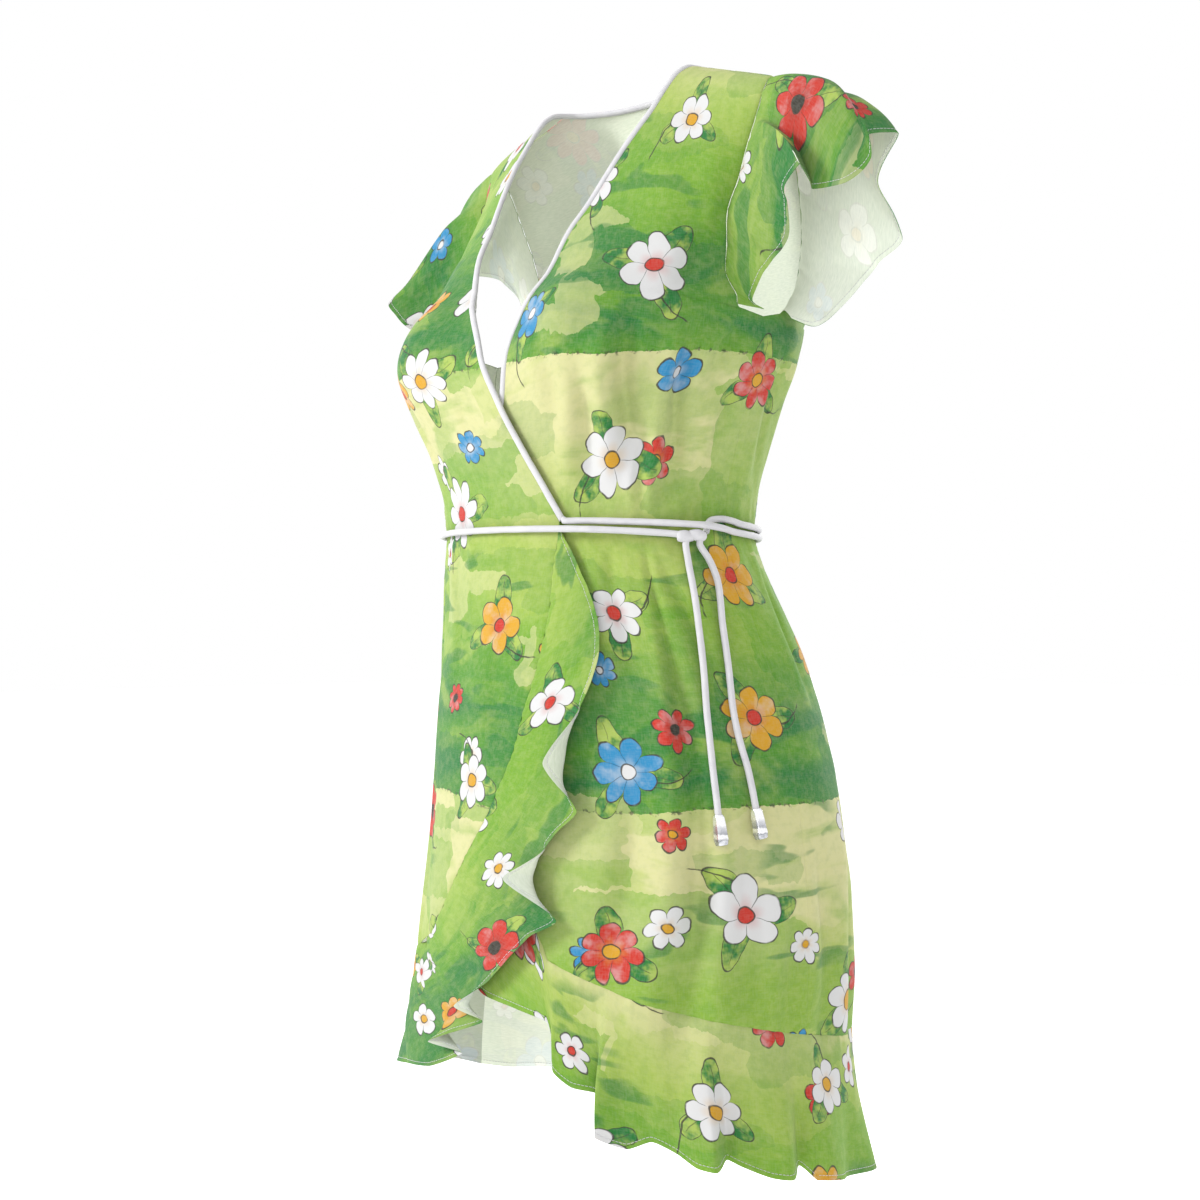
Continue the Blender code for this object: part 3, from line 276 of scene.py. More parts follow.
def reading(keys: Array, points: Array, at: Array) -> Array:
    """Rows of numbers at some places, read straight between the rows that stand at rising keys."""
    return np.stack([np.interp(at, keys, column) for column in np.asarray(points).T], axis=-1)


def run_length(points: Array) -> Array:
    """Distance from the first point to each, along the line of points."""
    return np.concatenate(([0.0], np.cumsum(np.linalg.norm(np.diff(points, axis=0), axis=1))))


def grid_run(points: Array, axis: int) -> Array:
    """Distance from a grid's first row (axis 0) or column (axis 1) to each point, along the grid."""
    run = np.cumsum(np.linalg.norm(np.diff(points, axis=axis), axis=2), axis=axis)
    return np.concatenate((np.zeros_like(np.take(run, [0], axis=axis)), run), axis=axis)


def even(points: Array, step: float) -> Array:
    """Points about a step apart along a line of points, its ends kept."""
    run = run_length(points)
    return reading(run, points, np.linspace(0.0, run[-1], max(2, round(run[-1] / step) + 1)))


def softened(points: Array, times: int) -> Array:
    """Rubs down the corners of a line of points.

    Args:
        points: the line.
        times: how often.

    Returns:
        The softer line, its ends kept.
    """
    points = points.copy()
    for _ in range(times):
        points[1:-1] = points[1:-1] / 2 + (points[:-2] + points[2:]) / 4
    return points


def wobble(at: Array, length: float, seed: int) -> Array:
    """An uneven wave from -1 to 1.

    Args:
        at: where to read it, in metres.
        length: its middle wave length.
        seed: which wave.

    Returns:
        Its heights.
    """
    dice = np.random.default_rng(seed)
    total = np.zeros_like(np.asarray(at, dtype=float))
    usual_height = 2.6
    for share in (0.62, 0.85, 1.0, 1.27, 1.71):
        total += dice.uniform(0.5, 1.0) * np.sin(2 * np.pi * at / (length * share) + dice.uniform(0, 6.28))
    return total / usual_height


# ---- the form
@dataclass(frozen=True)
class DressForm:
    """The worn shape that every piece of cloth is laid over."""

    neck_half: float = 0.085
    shoulder_drop: float = 0.03
    shoulder_length: float = 0.085
    neck_rise: float = 0.012
    neck_back: float = 0.008
    neck_back_reach: float = 0.165
    back_neck: float = -0.014
    bust_out: float = 0.021
    bust_x: float = 0.088
    bust_level: float = -0.213
    bust_spread_x: float = 0.04
    bust_spread_z: float = 0.056
    bust_sideways: float = 0.3
    bust_forwards: float = 0.95
    layer: float = 0.0048
    layer_angles: tuple[float, float] = (-86, -62)
    layer_depths: tuple[float, float] = (0.19, 0.245)
    chest_edge: float = -0.19
    highest: float = -0.0001
    seam_gap: float = 0.0003
    turned_in: float = 0.0006
    sections: Curve = field(default_factory=lambda: Curve(SECTIONS))
    hem_seam: Curve = field(default_factory=lambda: Curve(HEM_SEAM))
    armhole: Curve = field(default_factory=lambda: Curve(ARMHOLE))
    ruffled: Curve = field(default_factory=lambda: Curve(RUFFLED_EDGE))
    edges: dict = field(default_factory=lambda: {Side.RIGHT: Curve(RIGHT_EDGE), Side.LEFT: Curve(LEFT_EDGE)})

    def bare(self, angle: Number, level: Number) -> Array:
        """Points of the form itself.

        Args:
            angle: angles in degrees.
            level: heights.

        Returns:
            The points.
        """
        angle, level = np.broadcast_arrays(np.asarray(angle, float), np.asarray(level, float))
        half_f, half_b, deep_f, deep_b, middle, square_f, square_b = np.moveaxis(self.sections(level), -1, 0)
        s, c = np.sin(np.radians(angle)), np.cos(np.radians(angle))
        front = c >= 0
        square = np.where(front, square_f, square_b)
        reach = (np.abs(s) ** square + np.abs(c) ** square) ** (-1 / square)
        x = np.where(front, half_f, half_b) * reach * s
        y = middle - np.where(front, deep_f, deep_b) * reach * c
        y = y + (self.neck_back * ease(-np.abs(x), -self.neck_back_reach, -self.neck_half)
                 * ease(level, -0.06, 0.0))
        line = np.where(np.abs(x) < self.neck_half, self.neck_rise * (1 - (x / self.neck_half) ** 2),
                        -self.shoulder_drop * (np.abs(x) - self.neck_half) / self.shoulder_length)
        z = level + line * ease(level, UNDERARM, 0.0)
        push = self.bust_out * bell(level - self.bust_level, self.bust_spread_z)
        push = push * bell(np.abs(x) - self.bust_x, self.bust_spread_x) * front
        x = x + self.bust_sideways * push * np.sign(x) * np.minimum(1.0, np.abs(x) / self.bust_x)
        return np.stack((x, y - self.bust_forwards * push, z), axis=-1)

    def outwards(self, angle: Number, level: Number) -> Array:
        """The ways out of the form.

        Args:
            angle: angles in degrees.
            level: heights.

        Returns:
            Directions, 1 long.
        """
        turn, rise = 0.4, 0.0015
        high = np.minimum(np.asarray(level, float) + rise, -0.0002)
        across = self.bare(np.asarray(angle) + turn, level) - self.bare(np.asarray(angle) - turn, level)
        return unit(np.cross(across, self.bare(angle, high) - self.bare(angle, high - 2 * rise)))

    def at(self, angle: Number, level: Number, out: Number = 0.0) -> Array:
        """Points that stand out from the form, square to it."""
        return self.bare(angle, level) + self.outwards(angle, level) * np.asarray(out, float)[..., None]

    def angle_at(self, x: Number, level: Number, back: bool = False) -> Array:
        """The angle at which the form has an x.

        Args:
            x: the x wanted.
            level: the height.
            back: whether the place lies behind the side line.

        Returns:
            The angles in degrees.
        """
        ring = self.sections(level)
        half, square = (ring[..., 1], ring[..., 6]) if back else (ring[..., 0], ring[..., 5])
        share = np.minimum(np.abs(x) / half, 1.0)
        turn = np.degrees(np.arctan2(share, (1 - share ** square) ** (1 / square)))
        return np.copysign(180 - turn if back else turn, x)

    def top_layer(self, angle: Number, level: Number) -> Array:
        """How far the top front stands out where it lies over the under front."""
        return (self.layer * ease(angle, *self.layer_angles)
                * ease(-np.asarray(level, float), *self.layer_depths))

    def gap_angle(self, level: Number) -> Array:
        """How far the cloth turns under at the side seams, as an angle."""
        return np.degrees(-self.turned_in / 2 / self.sections(level)[..., 0])

    def front_place(self, side: Side, across: Number, row: Number) -> tuple[Array, Array]:
        """A place in a front panel.

        Args:
            side: which front.
            across: 0 at the wrap edge and 1 at the side.
            row: 0 at the shoulder, 1 at the underarm, 2 at the waist and 3 at the hem seam.

        Returns:
            Its angle and level.
        """
        across, row = np.broadcast_arrays(np.asarray(across, float), np.asarray(row, float))
        r1, r2, down = (np.clip(row - index, 0, 1) for index in range(3))
        inner = mix(mix(0.0, self.chest_edge, r1), WAIST, r2)
        outer = mix(mix(0.0, UNDERARM, r1), WAIST, r2)
        upper = row <= 2
        start = self.angle_at(self.edges[side](inner)[..., 0], inner)
        side_seam = 90 - self.gap_angle(outer)
        hole = np.minimum(self.angle_at(self.armhole(outer)[..., 0], outer), side_seam)
        end = side * np.where(row <= 1, hole, side_seam)
        inner_low, outer_low = mix(WAIST, WRAP_CORNER, down), mix(WAIST, SIDE_HEM, down)
        start = np.where(upper, start, self.angle_at(-side * self.ruffled(inner_low)[..., 0], inner_low))
        end = np.where(upper, end, side * (90 - self.gap_angle(outer_low)))
        angle = mix(start, end, across)
        hem = self.hem_seam(np.abs(angle))[..., 0] - mix(WRAP_CORNER, SIDE_HEM, across)
        low = mix(inner_low, outer_low, across) + hem * down ** 2
        return angle, np.minimum(np.where(upper, mix(inner, outer, across), low), self.highest)

    def back_place(self, across: Number, row: Number) -> tuple[Array, Array]:
        """A place in the back panel.

        Args:
            across: 0 at the left side and 1 at the right.
            row: as in a front panel.

        Returns:
            Its angle and level.
        """
        across, row = np.broadcast_arrays(np.asarray(across, float), np.asarray(row, float))
        turn = 2 * across - 1
        r1, r2, down = (np.clip(row - index, 0, 1) for index in range(3))
        outer = mix(0.0, UNDERARM, r1)
        edge = np.maximum(self.angle_at(self.armhole(outer)[..., 1], outer, True), 90 + self.gap_angle(outer))
        neck = 180 - self.angle_at(self.neck_half, outer, True)
        scoop = np.maximum(0.0, 1 - (np.abs(turn) * (180 - edge) / np.maximum(neck, 1.0)) ** 2)
        high_angle = 180 + turn * (180 - edge)
        high_level = outer + (mix(self.back_neck, UNDERARM, r1) - outer) * scoop
        low_angle = 180 + turn * (90 - self.gap_angle(UNDERARM))
        hem = self.hem_seam(180 - np.abs(low_angle - 180))[..., 0]
        low_level = np.where(row <= 2, mix(UNDERARM, WAIST, r2), mix(WAIST, hem, down))
        upper = row <= 1
        level = np.minimum(np.where(upper, high_level, low_level), self.highest)
        return np.where(upper, high_angle, low_angle), level


class FlatCut:
    """The form rolled out flat: where the cloth of each place lies in the print."""

    angle_step: float = 1.5
    level_step: float = 0.005
    grain_level: float = -0.52
    match_reach: float = 0.2
    band_edge: tuple[float, float] = (55.0, -0.239)

    def __init__(self, form: DressForm) -> None:
        """Measures the form.

        Args:
            form: the worn shape.
        """
        self.angles = np.arange(-180.0, 540.5, self.angle_step)
        self.levels = np.linspace(0.0, -0.9, 181)
        points = form.bare(self.angles[None, :], np.minimum(self.levels, form.highest)[:, None])
        self.across, self.down = grid_run(points, 1), grid_run(points, 0)
        self.across -= self.across[:, [int(180 / self.angle_step)]]

    def read(self, table: Array, angle: Array, level: Array) -> Array:
        """A table's value at some places, evenly between its own.

        Args:
            table: the across or down table.
            angle: angles in degrees.
            level: heights.

        Returns:
            The values.
        """
        column = np.clip((angle - self.angles[0]) / self.angle_step, 0, len(self.angles) - 1.001)
        row = np.clip(-level / self.level_step, 0, len(self.levels) - 1.001)
        c, r = column.astype(int), row.astype(int)
        fc, fr = column - c, row - r
        return (mix(table[r, c], table[r, c + 1], fc) * (1 - fr)
                + mix(table[r + 1, c], table[r + 1, c + 1], fc) * fr)

    def one(self, table: Array, angle: float, level: float) -> float:
        """A table's value at one place."""
        return float(self.read(table, np.array([angle]), np.array([level]))[0])

    def place(self, angle: Array, level: Array, middle: float, seam: float) -> Array:
        """Where places lie in the flat cloth, matched at a side seam.

        Args:
            angle: angles in degrees.
            level: heights.
            middle: the angle of the straight grain.
            seam: the angle of the seam where 0 lies.

        Returns:
            Metres across and up in the cloth.
        """
        level = np.minimum(level, 0.0)
        across = self.read(self.across, angle, level)
        grain = self.read(self.across, np.full_like(level, middle), level)
        side = self.read(self.across, np.full_like(level, seam), level)
        usual = (self.one(self.across, middle, self.grain_level)
                 - self.one(self.across, seam, self.grain_level))
        near = ease(-np.abs(across - side), -self.match_reach, 0.0)
        edge = self.one(self.down, *self.band_edge)
        down = self.read(self.down, np.full_like(level, self.band_edge[0]), level)
        return np.stack((mix(across - grain + usual, across - side, near), edge - down), axis=-1)

    def relaxed(self, points: Array, flat: Array, rounds: int = 30) -> Array:
        """Lets a flat sheet find its own shape, so that the print is sheared as little as cloth would be.

        Args:
            points: the grid of worn points.
            flat: where each lies in the flat cloth, roughly.
            rounds: how many times its lengths are evened.

        Returns:
            The flat places, changed as little as possible.
        """
        rows, columns = (np.unique(np.linspace(0, size - 1, count).astype(int))
                         for size, count in zip(points.shape, (46, 26)))
        worn, start = points[np.ix_(rows, columns)], flat[np.ix_(rows, columns)]
        place = start.copy()
        high, wide = len(rows), len(columns)
        pairs = []
        for down, across in ((0, 1), (1, 0), (1, 1), (1, -1)):
            a = (slice(0, high - down), slice(max(0, -across), wide - max(0, across)))
            b = (slice(down, high), slice(max(0, across), wide + min(0, across)))
            pairs.append((a, b, np.linalg.norm(worn[b] - worn[a], axis=2)))
        overshoot = 1.1
        for _ in range(rounds):
            move, weight = np.zeros_like(place), np.zeros(place.shape[:2])
            for a, b, length in pairs:
                gap = place[b] - place[a]
                now = np.maximum(np.linalg.norm(gap, axis=2), 1e-6)
                step = gap * (0.5 * (1 - length / now))[..., None]
                move[a] += step
                move[b] -= step
                weight[a] += 1
                weight[b] += 1
            place += overshoot * move / weight[..., None]
        change = place - start
        full = np.stack([reading(columns, row, np.arange(points.shape[1])) for row in change])
        full = reading(rows, full.reshape(high, -1), np.arange(points.shape[0]))
        return flat + full.reshape(points.shape[0], points.shape[1], 2)


# ---- creases
# about how far a degree round the dress is, in metres
DEGREE = 0.0028


@dataclass(frozen=True)
class Crease:
    """One soft trough, with the low ridge that stands beside it."""

    angle: float
    level: float
    end_angle: float
    end_level: float
    width: float
    depth: float
    ridge: float = 0.4

    def height(self, angle: Array, level: Array) -> Array:
        """How far the crease moves the cloth out at some places.

        Args:
            angle: angles in degrees.
            level: heights.

        Returns:
            Heights, mostly below 0.
        """
        turn = (angle - self.angle + 180) % 360 - 180
        x, z = turn * DEGREE, level - self.level
        dx, dz = (self.end_angle - self.angle) * DEGREE, self.end_level - self.level
        length = math.hypot(dx, dz)
        along = (x * dx + z * dz) / length ** 2
        aside = (x * dz - z * dx) / length
        aside = aside + 0.35 * self.width * np.sin(5.1 * along + 40 * self.angle)
        fade = ease(along, -0.12, 0.3) * ease(-along, -1.12, -0.62)
        width = self.width * (0.75 + 0.5 * np.clip(along, 0, 1))
        trough = bell(aside, width)
        ridge = bell(aside - 1.9 * width, 1.3 * width)
        return -self.depth * fade * (trough - self.ridge * ridge)


# angle and level where each starts and where it ends, its width and depth, and a ridge unlike the usual
BODICE_CREASES = tuple(Crease(*row) for row in (
    (48, -0.212, 49, -0.325, 0.0085, 0.0052, 0.65), (60, -0.285, 63, -0.35, 0.006, 0.0022),
    (52.5, -0.285, 55.5, -0.348, 0.005, 0.0018), (36, -0.25, 38, -0.345, 0.0085, 0.003, 0.5),
    (64, -0.222, 65, -0.335, 0.008, 0.0042, 0.6), (80, -0.21, 72, -0.262, 0.0085, 0.0022),
    (83, -0.25, 79, -0.335, 0.007, 0.0014), (24, -0.205, 30, -0.29, 0.008, 0.0014),
    (64, -0.14, 56, -0.195, 0.0085, 0.0018), (70, -0.1, 66, -0.17, 0.007, 0.0013),
    (-46, -0.23, -50, -0.335, 0.008, 0.0028), (-60, -0.262, -57, -0.345, 0.006, 0.0018),
    (-33, -0.245, -28, -0.335, 0.0085, 0.002), (-71, -0.232, -66, -0.33, 0.008, 0.0018),
    (-81, -0.208, -73, -0.258, 0.008, 0.002), (-10, -0.25, 4, -0.318, 0.008, 0.0014),
    (-62, -0.135, -57, -0.19, 0.008, 0.0016), (140, -0.18, 150, -0.335, 0.011, 0.0026),
    (163, -0.225, 165, -0.345, 0.008, 0.002), (181, -0.245, 179, -0.34, 0.011, 0.0014),
    (200, -0.215, 197, -0.345, 0.008, 0.0022), (222, -0.18, 211, -0.335, 0.011, 0.0024),
    (124, -0.205, 128, -0.33, 0.008, 0.0016), (239, -0.212, 233, -0.335, 0.008, 0.0018),
    (152, -0.07, 166, -0.15, 0.012, 0.0014), (208, -0.074, 195, -0.146, 0.012, 0.0015),
    (105, -0.235, 108, -0.33, 0.008, 0.0014), (256, -0.23, 252, -0.332, 0.008, 0.0014),
))
SKIRT_CREASES = tuple(Crease(*row) for row in (
    (56, -0.375, 55, -0.52, 0.004, 0.0018), (45, -0.372, 42, -0.47, 0.009, 0.0024),
    (62, -0.38, 68, -0.48, 0.008, 0.0016), (78, -0.378, 76, -0.455, 0.0075, 0.0014),
    (57, -0.44, 57, -0.68, 0.009, 0.0036, 0.6), (58, -0.59, 57, -0.76, 0.013, 0.0042),
    (72, -0.56, 73, -0.74, 0.012, 0.003), (41, -0.545, 38, -0.7, 0.012, 0.003),
    (85, -0.61, 86, -0.76, 0.011, 0.0026), (-20, -0.374, -14, -0.48, 0.009, 0.0024),
    (-42, -0.376, -45, -0.49, 0.009, 0.0022), (-62, -0.378, -60, -0.47, 0.008, 0.0018),
    (-34, -0.56, -37, -0.74, 0.013, 0.0036), (-55, -0.6, -55, -0.76, 0.012, 0.0034),
    (-74, -0.57, -76, -0.75, 0.011, 0.0028), (3, -0.4, 6, -0.52, 0.009, 0.0016),
    (98, -0.6, 99, -0.76, 0.012, 0.003), (113, -0.385, 111, -0.5, 0.009, 0.002),
    (134, -0.375, 131, -0.48, 0.009, 0.0022), (152, -0.378, 155, -0.52, 0.008, 0.0024),
    (176, -0.374, 173, -0.47, 0.009, 0.0018), (193, -0.376, 190, -0.5, 0.0085, 0.0024),
    (214, -0.374, 218, -0.47, 0.009, 0.0022), (238, -0.38, 239, -0.49, 0.008, 0.002),
    (256, -0.385, 252, -0.47, 0.008, 0.0016), (121, -0.56, 123, -0.77, 0.015, 0.0044),
    (146, -0.59, 143, -0.77, 0.014, 0.004), (169, -0.55, 170, -0.77, 0.014, 0.0044),
    (196, -0.6, 199, -0.77, 0.015, 0.0036), (221, -0.56, 219, -0.77, 0.014, 0.0044),
    (247, -0.59, 249, -0.77, 0.013, 0.0036),
))


class Drape:
    """The soft folds of the cloth, one field all round the dress."""

    strength: float = 1.9
    pucker: float = 0.0009
    faint_wave: float = 0.0007

    def height(self, angle: Array, level: Array) -> Array:
        """How far the folds move the cloth out.

        Args:
            angle: angles in degrees.
            level: heights.

        Returns:
            Heights, in metres.
        """
        turn = (np.asarray(angle) + 180) % 360 - 180
        total = self.strength * sum(crease.height(angle, level) for crease in BODICE_CREASES + SKIRT_CREASES)
        # cloth gathered in by the cord, and long faint waves that no one crease explains
        waist = level - WAIST + 0.003
        along = turn * 0.0026
        pucker = self.pucker * wobble(along, 0.024, 3) + 0.0005 * wobble(along + level, 0.012, 4)
        total = total + bell(waist, 0.034) * pucker + self.pucker * bell(waist, 0.013)
        total = total + self.faint_wave * wobble(turn * DEGREE + 0.5 * level, 0.075, 5)
        return total * (1 - 0.75 * bell(level - WAIST + 0.004, 0.008))


# ---- node materials
Value = Union["Field", float]
Paint = Union["Field", Colour]


class Field:
    """A number or colour in a material, with arithmetic that adds nodes."""

    def __init__(self, tree: bpy.types.NodeTree, socket: bpy.types.NodeSocket) -> None:
        """Wraps an output socket of a node tree."""
        self.tree, self.socket = tree, socket

    def put(self, target: bpy.types.NodeSocket, value: Union[Value, Sequence[float]]) -> None:
        """Joins a field, or sets a constant, on an input.

        Args:
            target: the input socket.
            value: what goes in.
        """
        if isinstance(value, Field):
            self.tree.links.new(value.socket, target)
        else:
            target.default_value = value

    def math(self, operation: str, *others: Value) -> "Field":
        """Adds a Math node.

        Args:
            operation: its operation.
            others: the inputs after this one.

        Returns:
            The result.
        """
        node = self.tree.nodes.new("ShaderNodeMath")
        node.operation = operation
        self.put(node.inputs[0], self)
        for target, value in zip(node.inputs[1:], others):
            self.put(target, value)
        return Field(self.tree, node.outputs[0])

    def __add__(self, other: Value) -> "Field":
        """The sum."""
        return self.math("ADD", other)

    def __sub__(self, other: Value) -> "Field":
        """The difference."""
        return self.math("SUBTRACT", other)

    def __mul__(self, other: Value) -> "Field":
        """The product."""
        return self.math("MULTIPLY", other)

    def __truediv__(self, other: Value) -> "Field":
        """The quotient."""
        return self.math("DIVIDE", other)

    def away(self) -> "Field":
        """How far the value is from 0, either way."""
        return self.math("ABSOLUTE")

    def whole(self) -> "Field":
        """The whole number below."""
        return self.math("FLOOR")

    def part(self) -> "Field":
        """What is left over the whole number below."""
        return self.math("FRACT")

    def step(self, start: float, end: float) -> "Field":
        """A smooth step, up or down.

        Args:
            start: where it is 0.
            end: where it is 1, which may be the lower.

        Returns:
            The step's height.
        """
        node = self.tree.nodes.new("ShaderNodeMapRange")
        node.interpolation_type = "SMOOTHSTEP"
        low, high = min(start, end), max(start, end)
        values = (low, high, 0.0, 1.0) if start < end else (low, high, 1.0, 0.0)
        self.put(node.inputs[0], self)
        for target, value in zip(node.inputs[1:5], values):
            target.default_value = value
        return Field(self.tree, node.outputs[0])

    def ramp(self, stops: Sequence[tuple[float, Colour]], constant: bool = False) -> "Field":
        """Colours along the value.

        Args:
            stops: places from 0 to 1 with their colours.
            constant: whether the colours stay unmixed.

        Returns:
            The colour.
        """
        node = self.tree.nodes.new("ShaderNodeValToRGB")
        node.color_ramp.interpolation = "CONSTANT" if constant else "LINEAR"
        elements = node.color_ramp.elements
        while len(elements) < len(stops):
            elements.new(0.5)
        for element, (place, _) in zip(elements, stops):
            element.position = place
        for element, (_, colour) in zip(elements, stops):
            element.color = (*colour, 1.0)
        self.put(node.inputs[0], self)
        return Field(self.tree, node.outputs[0])

    def over(self, under: Paint, colour: Paint) -> "Field":
        """A colour laid over another one, as strongly as this value.

        Args:
            under: the colour beneath.
            colour: the colour on top.

        Returns:
            The mixed colour.
        """
        node = self.tree.nodes.new("ShaderNodeMix")
        node.data_type = "RGBA"
        self.put(node.inputs[0], self)
        for target, value in ((node.inputs[6], under), (node.inputs[7], colour)):
            self.put(target, value if isinstance(value, Field) else (*value, 1.0))
        return Field(self.tree, node.outputs[2])


class Bench:
    """A node tree with the makers that the finishes share."""

    def __init__(self, tree: bpy.types.NodeTree) -> None:
        """Takes hold of the tree that nodes go into."""
        self.tree = tree

    def node(self, kind: str, output: Union[int, str] = 0, **inputs: object) -> Field:
        """Adds a node.

        Args:
            kind: its type, without the ShaderNode that begins it.
            output: which output to give back.
            inputs: values or fields by input name, an underscore for each space.

        Returns:
            The output.
        """
        node = self.tree.nodes.new("ShaderNode" + kind)
        result = Field(self.tree, node.outputs[output])
        for name, value in inputs.items():
            result.put(node.inputs[name.replace("_", " ")], value)
        return result

    def parts(self, vector: Field) -> tuple[Field, Field]:
        """The first two numbers of a vector."""
        node = self.tree.nodes.new("ShaderNodeSeparateXYZ")
        self.tree.links.new(vector.socket, node.inputs[0])
        return Field(self.tree, node.outputs[0]), Field(self.tree, node.outputs[1])

    def vector(self, x: Value, y: Value, z: Value = 0.0) -> Field:
        """A vector of three numbers."""
        return self.node("CombineXYZ", X=x, Y=y, Z=z)

    def noise(self, vector: Field, scale: float, detail: float = 2.0, rough: float = 0.5,
              distortion: float = 0.0) -> Field:
        """Cloudy noise round 0.5, its scale in clouds a metre."""
        return self.node("TexNoise", "Fac", Vector=vector, Scale=scale, Detail=detail, Roughness=rough,
                         Distortion=distortion)

    def blocks(self, place: Field, scale: float) -> tuple[Field, Field]:
        """Two chance values that are the same all over each block of a brush.

        Args:
            place: where they are read.
            scale: blocks in a metre.

        Returns:
            The two values, 0 to 1.
        """
        cells = self.node("TexVoronoi", "Color", Vector=place, Scale=scale)
        cells.socket.node.distance = "CHEBYCHEV"
        return self.parts(cells)


# how much paler a paint shows in the light of the white room
ROOM_LIGHT = 0.47
# a whole turn, as the weaves' waves take it
TURN = 6.2832


def shade(red: int, green: int, blue: int) -> Colour:
    """The paint that shows as a colour, 0 to 255, in the light of the white room."""
    return tuple(ROOM_LIGHT * ((c / 255 + 0.055) / 1.055) ** 2.4 for c in (red, green, blue))


def set_inputs(shader: bpy.types.Node, **values: Union[float, Sequence[float]]) -> None:
    """Sets constants on a shader's own sockets, an underscore in a name for each space."""
    for name, value in values.items():
        shader.inputs[name.replace("_", " ")].default_value = value


def link_inputs(shader: bpy.types.Node, colour: Field, relief: Field, rough: Field) -> None:
    """Joins the colour, the bump and the roughness that vary over a surface to its shader."""
    for name, value in (("Base Color", colour), ("Normal", relief), ("Roughness", rough)):
        value.tree.links.new(value.socket, shader.inputs[name])


